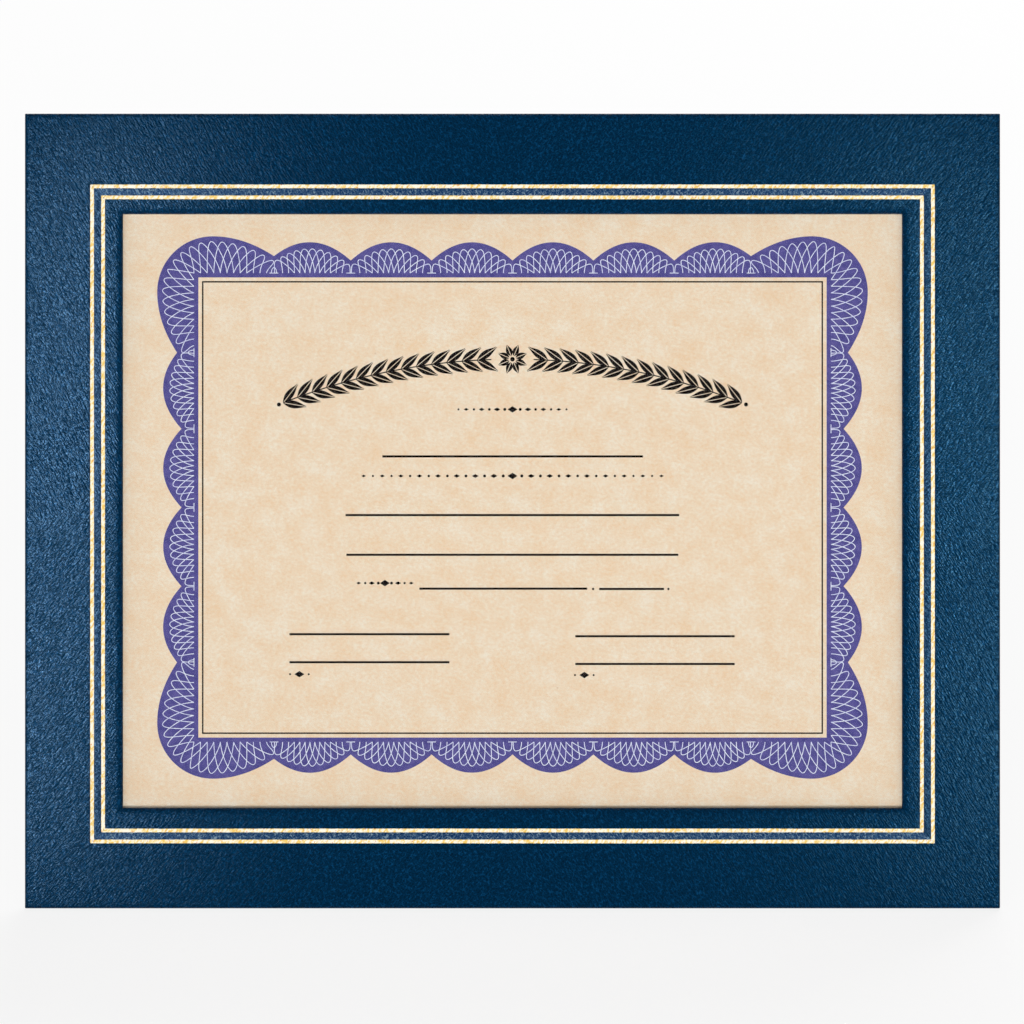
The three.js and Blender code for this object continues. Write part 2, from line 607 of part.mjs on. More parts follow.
leg.position.set(0, PIVOT_Y, PIVOT_HEIGHT);
leg.rotation.x = LEG_OPEN;
const legRivetZ = RIVET_FROM_END - LEAF_LENGTH;
add(leg, 'leg_board', legLayer(0, LEG_BOARD_IN, LEG_BOARD_THICKNESS), BOARD);
add(leg, 'leg_outer_paper',
  legLayer(PAPER_INSET, LEG_PAPER_OUT - PAPER_THICKNESS, PAPER_THICKNESS), BLACK_PAPER);
add(leg, 'leg_inner_paper', legLayer(PAPER_INSET, LEG_IN, PAPER_THICKNESS), BLACK_PAPER);
add(leg, 'hinge_leg_leaf', hingeLeaf(1).rotateX(Math.PI), STEEL);
LEAF_RIVETS.forEach((x, i) => add(leg, `hinge_leg_rivet_${['left', 'right'][i]}`,
  rivet(KNUCKLE_RADIUS + GLUE, LEG_IN - GLUE), BRASS, { x, z: legRivetZ }));
frame.add(leg);

// Lean the frame back and stand it on the table, centred over the origin
frame.rotation.x = -LEAN;
certificateHolder.add(frame);
certificateHolder.updateMatrixWorld(true);
const reach = new THREE.Box3().setFromObject(certificateHolder, true);
frame.position.set(0, -(reach.min.y + reach.max.y) / 2, -reach.min.z);

export default certificateHolder;
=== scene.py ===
"""The looks of a certificate holder: a padded frame with foil lines, a printed sheet and an easel back.

Every new piece but the ring is modelled in the panel's own frame, in millimetres: x across from its
middle, y back from its front face, and z up the panel from its middle. PANEL places that frame in the
row frame, in metres.
"""

import json
import math

import bmesh
import bpy
from mathutils import Matrix, Vector, noise


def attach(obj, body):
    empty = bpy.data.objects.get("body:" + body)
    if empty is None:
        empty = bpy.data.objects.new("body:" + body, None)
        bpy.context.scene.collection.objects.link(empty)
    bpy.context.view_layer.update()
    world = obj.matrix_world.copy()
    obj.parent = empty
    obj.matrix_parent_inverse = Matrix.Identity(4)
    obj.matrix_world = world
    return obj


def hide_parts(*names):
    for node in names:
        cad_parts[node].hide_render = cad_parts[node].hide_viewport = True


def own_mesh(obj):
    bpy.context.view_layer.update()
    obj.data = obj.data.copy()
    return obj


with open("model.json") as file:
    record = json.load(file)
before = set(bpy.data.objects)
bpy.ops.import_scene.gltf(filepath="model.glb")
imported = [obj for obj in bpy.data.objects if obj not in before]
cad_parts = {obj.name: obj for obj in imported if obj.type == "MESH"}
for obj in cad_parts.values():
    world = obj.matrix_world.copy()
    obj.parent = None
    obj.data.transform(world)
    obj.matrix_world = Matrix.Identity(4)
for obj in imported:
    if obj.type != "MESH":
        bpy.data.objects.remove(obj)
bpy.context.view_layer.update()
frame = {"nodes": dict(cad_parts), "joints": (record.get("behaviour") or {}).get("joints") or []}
nodes = frame["nodes"]
MM = 0.001


# Where the frame puts things

def joint(name):
    return next(found for found in frame["joints"] if found["name"] == name)


def reach(node, direction):
    """How far a CAD node reaches along a direction, lowest and highest, in metres."""
    along = [direction.dot(vertex.co) for vertex in nodes[node].data.vertices]
    return min(along), max(along)


ACROSS = Vector((1, 0, 0))
UP = Vector(joint("sheet_slide")["axis"]).normalized()
BACK = UP.cross(ACROSS)
COVER_FRONT, COVER_BACK = reach("leatherette_cover", BACK)
COVER_BOTTOM, COVER_TOP = reach("leatherette_cover", UP)
ORIGIN = BACK * COVER_FRONT + UP * (COVER_BOTTOM + COVER_TOP) / 2
PANEL = Matrix.Translation(ORIGIN) @ Matrix((ACROSS, BACK, UP)).transposed().to_4x4()


def in_panel(node):
    """A CAD node's lowest and highest corner in the panel's frame, in millimetres."""
    turned = PANEL.inverted()
    points = [turned @ vertex.co / MM for vertex in nodes[node].data.vertices]
    return tuple(Vector(pick(p[i] for p in points) for i in range(3)) for pick in (min, max))


COVER_HIGH = in_panel("leatherette_cover")[1]
SHEET_LOW, SHEET_HIGH = in_panel("certificate")
FOIL_BOXES = {side: in_panel(f"gold_foil_line_{side}") for side in ("outer", "inner")}

# The cover's section
SHEET_LAP = 6.35
HALF_WINDOW = (SHEET_HIGH.x - SHEET_LAP, (SHEET_HIGH.z - SHEET_LOW.z) / 2 - SHEET_LAP)
HALF_COVER = (COVER_HIGH.x, COVER_HIGH.z)
COVER_THICKNESS = 0.8
OUTER_TURN_IN = 13
WINDOW_TURN_IN = 10
OUTER_ROLL = (1.6, 1.2)  # how far in and how deep the padded outer edge rolls
BACK_ROLL = 1.25
WINDOW_ROLL = (2.6, 1.9)
FACE = 0.05  # how deep the front face lies, so that the strip between the lines can rise
ROLL_STEPS = 10
FACE_STEPS = 14
PLAN_CORNER = 0.35  # the radius of the outer corners, seen from the front
WINDOW_CORNER = 0.25
CORNER_STEPS = 6
SIDE_STEPS = 150

# The foil lines
FOIL_WIDTH = 1.25
GROOVE_DEPTH = 0.2
SHOULDER = 0.55  # how far beside a line the cover starts to dip towards it
FOIL_STEP = 0.35
FOIL_RAGGED = 0.07
FOIL_TOP = 0.06
FOIL_CROWN = 0.005  # how much lower the foil's edges lie than its middle
FOIL_BODY = 0.1


def foil_offset(side):
    """How far outside the window the middle of a foil line runs."""
    return FOIL_BOXES[side][1].x - FOIL_WIDTH / 2 - HALF_WINDOW[0]


FOIL_DROP = -(FOIL_BOXES["outer"][0].z + FOIL_BOXES["outer"][1].z) / 2
GROOVES = sorted((foil_offset(side) for side in FOIL_BOXES), reverse=True)
STRIP_MIDDLE = sum(GROOVES) / 2
STRIP_HALF = (GROOVES[0] - GROOVES[1] - FOIL_WIDTH) / 2

# The printing: a scalloped band round the sheet, measured from the band's straight inner edge
BAND_HALF = {"wide": 107.6, "high": 78.8}
OTHER = {"wide": "high", "high": "wide"}  # the kind of the next side
BAND_RISE = 1.2  # the band sits this much above the window's middle
CUSP_DEPTH = 5.8
CORNER_CUSP_DEPTH = 7.3
CREST_DEPTH = 12.05
LOBE_DEPTH = 14.1
LOBE_CENTRE = 5.0  # how far in from the band's inner corner the corner lobe turns
SCALLOP_POWER = 2.0
CUSPS = {"wide": (0, 27.7, 55.4, 81.7), "high": (0, 26.95, 53.05)}
SCALLOP_STEPS = 24
LOBE_STEPS = 32

# The fine line work inside the band
LINE_WIDTH = 0.25
CREST_INSET = 2.25  # from the band's outer edge to the loops' crests
BASE_OUT = 1.5  # from the band's inner edge to the line that the loops stand on
LOOPS_EACH_SIDE = 5
CREST_PITCH = 0.2116  # from crest to crest, as a share of half a scallop, and how fast it shrinks
CREST_SHRINK = 0.0055
FOOT_PITCH = 0.121  # the same for half a step of the strands' feet, and how fast it grows
FOOT_GROWTH = 0.03
FOOT_REACH = 1.5  # how many such steps to each side of its crest a strand's feet stand
CUSP_FOOT = 0.985  # where a scallop's last strand stands, as a share of half its width
SERIF_WIDTH = 3.0
LOBE_LOOPS = 20
LOBE_PITCH = 3.73
LOBE_INSET = 1.8  # from a corner lobe's edge to its loops' crests
CURL_HEIGHT = 1.9  # the small loops at a corner lobe's two cusps
CURL_HALF = 0.9
LOBE_FOOT_PITCH = 2.26
STRAND_STEPS = 12
STRAND_SWING = 1.5  # how far a tall strand swings out at its crest
TALL_STRAND = 4.5
MOST_LEAN = 1.2  # what a strand's lean counts for at most, as a share of its height
LEAST_HEIGHT = 0.5
STAND = 0.5  # how far an upright strand rises straight, as a share of its height
STAND_LOSS = 0.2  # and how much less a leaning one does
LEAST_STAND = 0.24
SIDE_PULL = 0.12  # how far a leaning strand bends towards its crest at its foot

# The rule inside the band, and the ruled lines that are filled in by hand
RULE_INSET = 1.5
RULE_WIDTH = 0.5
WRITING_WIDTH = 0.75
WRITING_LINES = (  # left end, right end, height above the window's middle
    (-44.6, 44.7, 18.7),
    (-57.2, 57.1, -1.4),
    (-56.9, 56.8, -15.0),
    (-31.9, 25.6, -26.6),
    (29.7, 51.9, -26.7),
    (-76.4, -21.6, -42.2),
    (-76.4, -21.6, -51.8),
    (21.5, 76.1, -42.9),
    (21.5, 76.1, -52.4),
)
WRITING_DOTS = ((27.6, -26.7), (53.4, -26.7))

# The printed ornaments
GARLAND_RADIUS = 214
GARLAND_TOP = 52.0
GARLAND_HALF = 78.5
GARLAND_PAIRS = 14
LEAF_LENGTH = 8.0
LEAF_WIDTH = 2.7
LEAF_ANGLE = 31
LEAF_STEPS = 8
VEIN = 0.2
STEM_WIDTH = 0.4
STEM_START = 0.09  # from the garland's middle to its stems, as a share of half its length
LEAVES_START = 0.15  # and to the first leaves
BERRY_PLACE = 1.02
BERRY_RADIUS = 0.7
STEM_STEPS = 40
ROSETTE_RADIUS = 5.2
ROSETTE_PETALS = 8
PETAL_START = 1.2
PETAL_WIDTH = 2.2
HEART_RADIUS = 0.8
DIVIDERS = (  # middle, half width, beads and small lozenges to each side
    ((0, 34.8), 18.5, 7),
    ((0, 12.0), 51, 16),
    ((-43.7, -24.7), 9, 4),
    ((-73.0, -55.9), 3.2, 1),
    ((24.6, -56.2), 3.2, 1),
)
DIVIDER_MIDDLE = (3.4, 2.2)
DIVIDER_SIZES = (  # at the middle, and how much less at the end
    (0.55, 0.2),  # a bead's radius
    (2.6, 1.0),  # a small lozenge's width
    (1.4, 0.5),  # and its height
)
BEAD_SIDES = 12
DOT_RADIUS = 0.4

# The printing's back and fronts: it fits between the sheet and the clear window
PRINT_BACK = SHEET_LOW.y - 0.002
BAND_FRONT = SHEET_LOW.y - 0.015
RULE_FRONT = SHEET_LOW.y - 0.02
LINES_FRONT = SHEET_LOW.y - 0.03

# The ribbon that stops the leg, and the hanger's ring
LEG_OPEN = math.radians(30)
LEG_INNER_FACE = -1.12  # from the pivot to the closed leg's face towards the frame
RIBBON_WIDTH = 12
RIBBON_THICKNESS = 0.3
RIBBON_OFF = 0.25  # from a face that it is glued to, to its own middle
RIBBON_TAB = 16
RIBBON_DROP = 112
RIBBON_BEND = 1.0
RIBBON_BEND_STEPS = 8
RIBBON_RIB = 0.9
RIB_LEVELS = (0.6, 0.9)  # low and high, as a share of the ribbon's thickness
RIBBON_CORD = (0.12, 0.6, 0.8)  # how far in its corded edge rises, starts to fall, and has fallen
RING_WIDTH = 17
RING_HEIGHT = 15
RING_CORNER = 2
RING_CORNER_STEPS = 14
RING_WIRE = 0.8
WIRE_SIDES = 14


# Colours

def srgb(red, green, blue):
    """A screen colour as Blender's linear one."""
    def linear(value):
        share = value / 255
        return share / 12.92 if share <= 0.04045 else ((share + 0.055) / 1.055) ** 2.4
    return (linear(red), linear(green), linear(blue), 1)


# Materials

DRIFT_SCALE = 0.6  # how fine the noise is that shifts the cells, beside the cells themselves


class Finish:
    """A material's node tree, with one short call for each kind of node that the finishes use."""

    def __init__(self, name, roughness, metallic=0.0, specular=0.5):
        self.material = bpy.data.materials.new(name)
        self.material.use_nodes = True
        self.tree = self.material.node_tree
        self.shader = self.tree.nodes["Principled BSDF"]
        self.shader.inputs["Roughness"].default_value = roughness
        self.shader.inputs["Metallic"].default_value = metallic
        self.shader.inputs["Specular IOR Level"].default_value = specular
        self.place = self.node("ShaderNodeTexCoord", {}).outputs["Object"]

    def node(self, kind, inputs, **settings):
        """A new node of that kind, with its settings and what its inputs are fed."""
        made = self.tree.nodes.new(kind)
        for name, value in settings.items():
            setattr(made, name, value)
        for name, value in inputs.items():
            self.feed(value, made.inputs[name])
        return made

    def feed(self, value, socket):
        """Links a node's output to a socket, or sets the socket to a number or colour."""
        if isinstance(value, bpy.types.NodeSocket):
            self.tree.links.new(value, socket)
        else:
            socket.default_value = value

    def set(self, socket, value):
        self.feed(value, self.shader.inputs[socket])

    def grid(self, size, turn=0.0):
        """The place on the piece in features of that size, in mm, turned about the panel's normal."""
        turned = PANEL.to_3x3() @ Matrix.Rotation(math.radians(turn), 3, "Y")
        inputs = {"Vector": self.place, "Location": ORIGIN, "Rotation": turned.to_euler("XYZ"),
                  "Scale": [length * MM for length in size]}
        return self.node("ShaderNodeMapping", inputs, vector_type="TEXTURE").outputs["Vector"]

    def across_and_up(self):
        """How far across and up from the panel's middle the place is, in millimetres."""
        place = self.node("ShaderNodeSeparateXYZ", {0: self.grid((1, 1, 1))})
        return place.outputs["X"], place.outputs["Z"]

    def cloud(self, size, turn=0.0, detail=2.0, roughness=0.5):
        """Soft noise with features of that size."""
        inputs = {"Vector": self.grid(size, turn), "Scale": 1, "Detail": detail, "Roughness": roughness}
        return self.node("ShaderNodeTexNoise", inputs).outputs["Fac"]

    def shifted(self, place, amount):
        """A place moved about by soft noise, so that a regular pattern grows natural."""
        drift = self.node("ShaderNodeTexNoise", {"Vector": place, "Scale": DRIFT_SCALE})
        inputs = {0: drift.outputs["Color"], 1: (0.5, 0.5, 0.5)}
        centred = self.node("ShaderNodeVectorMath", inputs, operation="SUBTRACT")
        inputs = {0: centred.outputs[0], 1: (amount, amount, amount), 2: place}
        return self.node("ShaderNodeVectorMath", inputs, operation="MULTIPLY_ADD").outputs[0]

    def cells(self, size, turn=0.0, feature="F1", jitter=1.0, shift=0.0):
        """Distance to the middle or edge of cells of that size."""
        place = self.grid(size, turn)
        if shift:
            place = self.shifted(place, shift)
        inputs = {"Vector": place, "Scale": 1, "Randomness": jitter}
        return self.node("ShaderNodeTexVoronoi", inputs, feature=feature).outputs["Distance"]

    def math(self, operation, first, second=0.0):
        return self.node("ShaderNodeMath", {0: first, 1: second}, operation=operation).outputs[0]

    def weigh(self, share, first, second):
        """A share of the first value, and the rest of the second."""
        rest = self.math("MULTIPLY", second, 1 - share)
        return self.math("ADD", self.math("MULTIPLY", first, share), rest)

    def rise(self, value, low, high):
        """0 where a value is at low, 1 where it is at high, and a smooth change between them."""
        inputs = {"Value": value, "From Min": low, "From Max": high}
        return self.node("ShaderNodeMapRange", inputs, interpolation_type="SMOOTHSTEP").outputs["Result"]

    def ramp(self, value, *stops):
        """A colour or a grey for each place along a value: stops are (place, colour or number)."""
        made = self.node("ShaderNodeValToRGB", {"Fac": value})
        elements = made.color_ramp.elements
        while len(elements) < len(stops):
            elements.new(1)
        for element, (at, colour) in zip(elements, stops):
            element.position = at
            element.color = colour if isinstance(colour, tuple) else (colour, colour, colour, 1)
        return made.outputs["Color"]

    def mix(self, share, first, second):
        inputs = {"Factor": share, "A": first, "B": second}
        return self.node("ShaderNodeMix", inputs, data_type="RGBA").outputs["Result"]

    def paint(self, value, *stops):
        """Colours the material along a value, as ramp does."""
        self.set("Base Color", self.ramp(value, *stops))

    def bump(self, height, depth):
        """Bumps as deep as that, in millimetres."""
        made = self.node("ShaderNodeBump", {"Height": height, "Distance": depth * MM, "Strength": 1})
        self.set("Normal", made.outputs["Normal"])


STREAK_TURN = 58  # how steep the grain's streaks fall to the right, in degrees
RISING_TURN = -47  # and how steep they rise elsewhere
SLANT_WANDER = 6000  # how raggedly their slant changes from quarter to quarter, in square mm
SLANT_BLEND = 800
NET_LINE = 0.16  # half the width of the net's lines, as a share of its cells
UPRIGHT_SHEEN = 0.3  # how much painted sheen the strip's upright sides get, as a share of its level ones


def painted_strip_sheen(made):
    """How much painted sheen the strip between the foil lines gets, for light caught by the raised strip:
    most along its level sides, and 0 off the strip.
    """
    across, up = made.across_and_up()
    beside = made.math("SUBTRACT", made.math("ABSOLUTE", across), HALF_WINDOW[0])
    above = made.math("SUBTRACT", made.math("ABSOLUTE", made.math("ADD", up, FOIL_DROP)), HALF_WINDOW[1])
    outside = made.math("MAXIMUM", beside, above)
    from_middle = made.math("ABSOLUTE", made.math("SUBTRACT", outside, STRIP_MIDDLE))
    on_strip = made.math("LESS_THAN", from_middle, STRIP_HALF)
    # the level runs get more painted sheen than the upright ones, as the light falls on them
    level = made.math("LESS_THAN", beside, above)
    sheen_share = made.math("ADD", made.math("MULTIPLY", level, 1 - UPRIGHT_SHEEN), UPRIGHT_SHEEN)
    return made.math("MULTIPLY", on_strip, sheen_share)


def rising_grain(made):
    """0 in the upper left and lower right quarters, where the streaks fall to the right, and 1 elsewhere."""
    across, up = made.across_and_up()
    quarter = made.math("MULTIPLY", across, up)
    wander = made.math("MULTIPLY", made.math("SUBTRACT", made.cloud((30, 30, 30)), 0.5), SLANT_WANDER)
    return made.rise(made.math("ADD", quarter, wander), -SLANT_BLEND, SLANT_BLEND)


def leatherette():
    """Slanted pebbles under a net of lighter lines, with a painted sheen on the strip between the foil
    lines.
    """
    made = Finish("leatherette", roughness=0.36, specular=0.035)
    made.set("Specular Tint", (0.28, 0.64, 1.0, 1))
    rising = rising_grain(made)

    def both_slants(size, feature, shift):
        """Cells drawn out along the streaks, whichever way these run."""
        falling_cells = made.cells(size, STREAK_TURN, feature=feature, shift=shift)
        rising_cells = made.cells(size, RISING_TURN, feature=feature, shift=shift)
        return made.mix(rising, falling_cells, rising_cells)

    long_pebbles = both_slants((1.9, 0.8, 0.46), "SMOOTH_F1", 0.7)
    short_pebbles = made.cells((0.68, 0.8, 0.42), 10, feature="SMOOTH_F1", shift=0.8)
    hollows = made.weigh(0.65, long_pebbles, short_pebbles)
    made.bump(made.math("SUBTRACT", 0.9, hollows), 0.6)
    net = made.cells((0.9, 3.0, 0.8), 20, feature="DISTANCE_TO_EDGE", shift=0.8)
    streaks = both_slants((2.0, 3.0, 0.8), "DISTANCE_TO_EDGE", 0.8)
    broken = made.rise(made.cloud((1.5, 1.2, 0.9), STREAK_TURN, detail=1.0), 0.4, 0.6)
    dashes = made.math("MULTIPLY", made.rise(streaks, NET_LINE, 0.0), broken)
    lines = made.weigh(0.4, made.rise(net, NET_LINE, 0.0), dashes)
    plain = made.ramp(lines, (0.0, srgb(0, 28, 50)), (0.4, srgb(0, 40, 69)), (1.0, srgb(10, 62, 102)))
    # a lighter copy of the leather: painted sheen for the raised strip between the foil lines
    painted_sheen = made.ramp(
        lines, (0.0, srgb(18, 46, 84)), (0.4, srgb(52, 80, 110)), (1.0, srgb(128, 150, 164)))
    made.set("Base Color", made.mix(painted_strip_sheen(made), plain, painted_sheen))
    return made.material


def gold_foil():
    """Thin foil over the grain: pale, with slanted yellow patches and a few coppery flecks."""
    made = Finish("gold_foil", roughness=0.12, metallic=0.5, specular=0.1)
    patches = made.cloud((2.0, 1.0, 0.9), -STREAK_TURN, detail=2.0, roughness=0.6)
    foil = made.ramp(
        patches, (0.38, srgb(240, 198, 104)), (0.46, srgb(246, 222, 158)), (0.54, srgb(252, 244, 226)))
    flecks = made.cells((1.4, 1.0, 1.1), -STREAK_TURN, shift=0.8)
    fleck = made.ramp(flecks, (0.1, 0.9), (0.22, 0.0))
    made.set("Base Color", made.mix(fleck, foil, srgb(216, 128, 88)))
    made.bump(patches, 0.01)
    return made.material


def parchment():
    """Laid paper with soft pale clouds a few millimetres wide and rare brown specks."""
    made = Finish("parchment", roughness=0.9, specular=0.02)
    clouds = made.cloud((8.0, 6.5, 7.0), 15, detail=3.0, roughness=0.6)
    mottle = made.cloud((1.3, 1.1, 0.9), 10, detail=2.0, roughness=0.7)
    fibres = made.cloud((0.6, 0.6, 0.5), 40, detail=2.0)
    paper = made.ramp(
        made.weigh(0.45, clouds, mottle),
        (0.36, srgb(233, 203, 168)), (0.5, srgb(234, 213, 185)), (0.64, srgb(236, 224, 204)))
    specks = made.cells((13, 13, 13))
    speck = made.ramp(specks, (0.012, 0.6), (0.03, 0.0))
    made.set("Base Color", made.mix(speck, paper, srgb(206, 172, 144)))
    made.bump(fibres, 0.01)
    return made.material


def violet_ink():
    made = Finish("violet_ink", roughness=0.8, specular=0.02)
    lay = made.cloud((2.5, 2.0, 1.8), 30, detail=3.0)
    made.paint(lay, (0.3, srgb(74, 70, 134)), (0.7, srgb(94, 88, 152)))
    return made.material


def pale_ink():
    made = Finish("pale_ink", roughness=0.8, specular=0.02)
    lay = made.cloud((1.2, 1.0, 1.0), 10, detail=2.0)
    made.paint(lay, (0.35, srgb(206, 212, 238)), (0.65, srgb(236, 242, 252)))
    return made.material


def black_ink():
    made = Finish("black_ink", roughness=0.7, specular=0.02)
    worn = made.cloud((1.3, 1.0, 0.5), 70, detail=3.0, roughness=0.6)
    made.paint(worn, (0.3, srgb(8, 4, 3)), (0.64, srgb(20, 12, 10)), (0.76, srgb(110, 92, 78)))
    return made.material


def clear_film():
    made = Finish("acetate", roughness=0.06, specular=0.5)
    haze = made.cloud((60, 60, 60), 0, detail=1.0)
    made.paint(haze, (0.3, srgb(70, 74, 78)), (0.7, srgb(82, 86, 90)))
    made.set("Roughness", made.math("ADD", made.math("MULTIPLY", haze, 0.05), 0.03))
    made.set("Alpha", 0.04)
    return made.material


def foam():
    made = Finish("foam", roughness=0.95, specular=0.1)
    pores = made.cells((0.6, 0.6, 0.6))
    made.paint(pores, (0.1, srgb(186, 182, 166)), (0.6, srgb(222, 218, 204)))
    made.bump(pores, 0.15)
    return made.material


def board(name, dark, light):
    """Pressed grey board or pale card: layers along its edge, and short fibres."""
    made = Finish(name, roughness=0.9, specular=0.15)
    fibres = made.cloud((1.6, 0.25, 0.9), 12, detail=3.0, roughness=0.6)
    made.paint(fibres, (0.3, dark), (0.7, light))
    made.bump(fibres, 0.06)
    return made.material


def black_paper():
    made = Finish("black_paper", roughness=0.62, specular=0.3)
    weave = made.cells((0.9, 0.6, 0.9), 45, feature="SMOOTH_F1", jitter=0.55)
    clouds = made.cloud((14, 14, 10), 0, detail=2.0)
    made.bump(weave, 0.12)
    made.paint(made.weigh(0.6, weave, clouds), (0.2, srgb(20, 20, 22)), (0.75, srgb(42, 42, 45)))
    return made.material


def metal(name, dark, light, roughness, grain):
    """Plated sheet or wire with fine rolling marks."""
    made = Finish(name, roughness=roughness, metallic=1.0)
    marks = made.cloud(grain, 0, detail=3.0, roughness=0.6)
    clouds = made.cloud((5, 5, 5), 25, detail=2.0)
    made.paint(clouds, (0.3, dark), (0.7, light))
    made.set("Roughness", made.math("ADD", made.math("MULTIPLY", marks, 0.22), roughness - 0.11))
    made.bump(marks, 0.01)
    return made.material


def woven_ribbon():
    made = Finish("ribbon", roughness=0.6, specular=0.3)
    threads = made.cloud((0.5, 0.35, 0.35), 0, detail=2.0)
    made.paint(threads, (0.3, srgb(18, 19, 22)), (0.7, srgb(44, 46, 52)))
    made.set("Sheen Weight", 0.2)
    made.bump(threads, 0.04)
    return made.material


LEATHERETTE = leatherette()
FOIL = gold_foil()
PARCHMENT = parchment()
VIOLET = violet_ink()
PALE = pale_ink()
BLACK = black_ink()
ACETATE = clear_film()
FOAM = foam()
GREY_BOARD = board("grey_board", srgb(126, 118, 103), srgb(163, 154, 136))
CARD = board("card", srgb(196, 188, 170), srgb(216, 209, 193))
BLACK_PAPER = black_paper()
STEEL = metal("steel", srgb(172, 175, 180), srgb(190, 192, 196), 0.4, (0.4, 3.0, 6.0))
BRASS = metal("rivet_brass", srgb(178, 140, 72), srgb(214, 176, 104), 0.3, (1.0, 1.0, 1.0))
RIBBON = woven_ribbon()

CAD_FINISHES = {
    FOAM: ("foam_padding",),
    GREY_BOARD: ("front_board", "back_board", "leg_board"),
    ACETATE: ("acetate_window",),
    CARD: ("pocket_spacer_left", "pocket_spacer_right", "pocket_spacer_bottom"),
    PARCHMENT: ("certificate",),
    BLACK_PAPER: ("back_liner", "leg_outer_paper", "leg_inner_paper"),
    STEEL: ("hinge_frame_leaf", "hinge_leg_leaf", "hinge_pin", "hanger_strap"),
    BRASS: ("hinge_frame_rivet_left", "hinge_frame_rivet_right", "hinge_leg_rivet_left",
            "hinge_leg_rivet_right", "hanger_rivet"),
}
SOFT_EDGES = {
    "back_board": 0.12,
    "leg_board": 0.12,
    "hinge_frame_leaf": 0.12,
    "hinge_leg_leaf": 0.12,
    "hanger_strap": 0.1,
}
SHARP_ANGLE = 32
SOFT_ANGLE = 60  # for rolled edges


# Meshes

def shade(mesh, sharp=SHARP_ANGLE, weld=False):
    """Smooth faces, with the edges sharper than that angle kept crisp, and a new mesh welded first."""
    mesh.shade_smooth()
    work = bmesh.new()
    work.from_mesh(mesh)
    if weld:
        bmesh.ops.remove_doubles(work, verts=work.verts, dist=1e-8)
        bmesh.ops.recalc_face_normals(work, faces=work.faces)
    for edge in work.edges:
        edge.smooth = len(edge.link_faces) == 2 and edge.calc_face_angle(0) < math.radians(sharp)
    work.to_mesh(mesh)
    work.free()


def add_piece(name, parts, material, body="holder", replaces=(), sharp=SHARP_ANGLE, place=PANEL):
    """A new piece from parts drawn in millimetres, by default in the panel's frame."""
    mesh = bpy.data.meshes.new(name)
    mesh.from_pydata([place @ (Vector(point) * MM) for point in parts.points], [], parts.faces)
    shade(mesh, sharp, weld=True)
    mesh.materials.append(material)
    piece = bpy.data.objects.new(name, mesh)
    bpy.context.scene.collection.objects.link(piece)
    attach(piece, body)
    if replaces:
        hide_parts(*replaces)
    return piece


def heading(angle):
    return Vector((math.cos(angle), math.sin(angle)))


def with_sides(path):
    """The places of an open path, each with the way square to the path there."""
    for i, place in enumerate(path):
        along = (path[min(i + 1, len(path) - 1)] - path[max(i - 1, 0)]).normalized()
        yield place, Vector((-along.y, along.x))


class Parts:
    """Points and faces of several solids that make one piece."""

    def __init__(self, loops=(), closed=True):
        self.points = []
        self.faces = []
        if loops:
            self.loops(loops, closed)

    def loops(self, loops, closed):
        """Each loop of points joined to the next, and the last to the first, or both ends capped."""
        start = len(self.points)
        count = len(loops[0])
        for i in range(len(loops) if closed else len(loops) - 1):
            here = start + i * count
            there = start + (i + 1) % len(loops) * count
            for j in range(count):
                k = (j + 1) % count
                self.faces.append((here + j, here + k, there + k, there + j))
        for loop in loops:
            self.points.extend(loop)
        if not closed:
            last = start + (len(loops) - 1) * count
            self.faces.append(tuple(range(start + count - 1, start - 1, -1)))
            self.faces.append(tuple(range(last, last + count)))

    def plate(self, outline):
        """A flat print from an outline of (x, z) places."""
        self.loops([[(x, y, z) for x, z in outline] for y in (RULE_FRONT, PRINT_BACK)], closed=False)

    def stroke(self, line, width, front=RULE_FRONT):
        """A flat printed line of that width along (x, z) places."""
        loops = []
        for place, side in with_sides([Vector(point) for point in line]):
            left = place + side * width / 2
            right = place - side * width / 2
            loops.append([(left.x, front, left.y), (right.x, front, right.y),
                          (right.x, PRINT_BACK, right.y), (left.x, PRINT_BACK, left.y)])
        self.loops(loops, closed=False)


CORNERS = ((-1, -1), (1, -1), (1, 1), (-1, 1))


def rounded_rectangle(half_x, half_z, corner, side_steps, middle_z=0.0):
    """Places round a rectangle, as many for every size: (x, z) from the lower left corner's arc on."""
    places = []
    centres = [Vector((x * (half_x - corner), z * (half_z - corner) + middle_z)) for x, z in CORNERS]
    for turn, centre in enumerate(centres):
        for i in range(CORNER_STEPS + 1):
            angle = math.pi + (turn + i / CORNER_STEPS) * math.pi / 2
            places.append(centre + heading(angle) * corner)
        start = places[-1]
        end = centres[(turn + 1) % 4] + heading(angle) * corner
        places.extend(start.lerp(end, i / side_steps) for i in range(1, side_steps))
    return places


# The cover

def roll_points(width, depth, steps):
    """(distance in from the edge, depth) over a rolled edge, from its side to its face."""
    angles = [math.pi / 2 * i / steps for i in range(steps + 1)]
    return [(width * (1 - math.cos(angle)), depth * (1 - math.sin(angle))) for angle in angles]


def groove_profile(offset):
    """(distance outside the window, depth) over one stamped line, from its outer side to its inner side."""
    half = FOIL_WIDTH / 2
    sides = [(half + SHOULDER, FACE), (half + SHOULDER / 2, FACE + 0.03), (half + 0.08, 0.12),
             (half - 0.05, GROOVE_DEPTH)]
    return [(offset + s, y) for s, y in sides] + [(offset - s, y) for s, y in reversed(sides)]


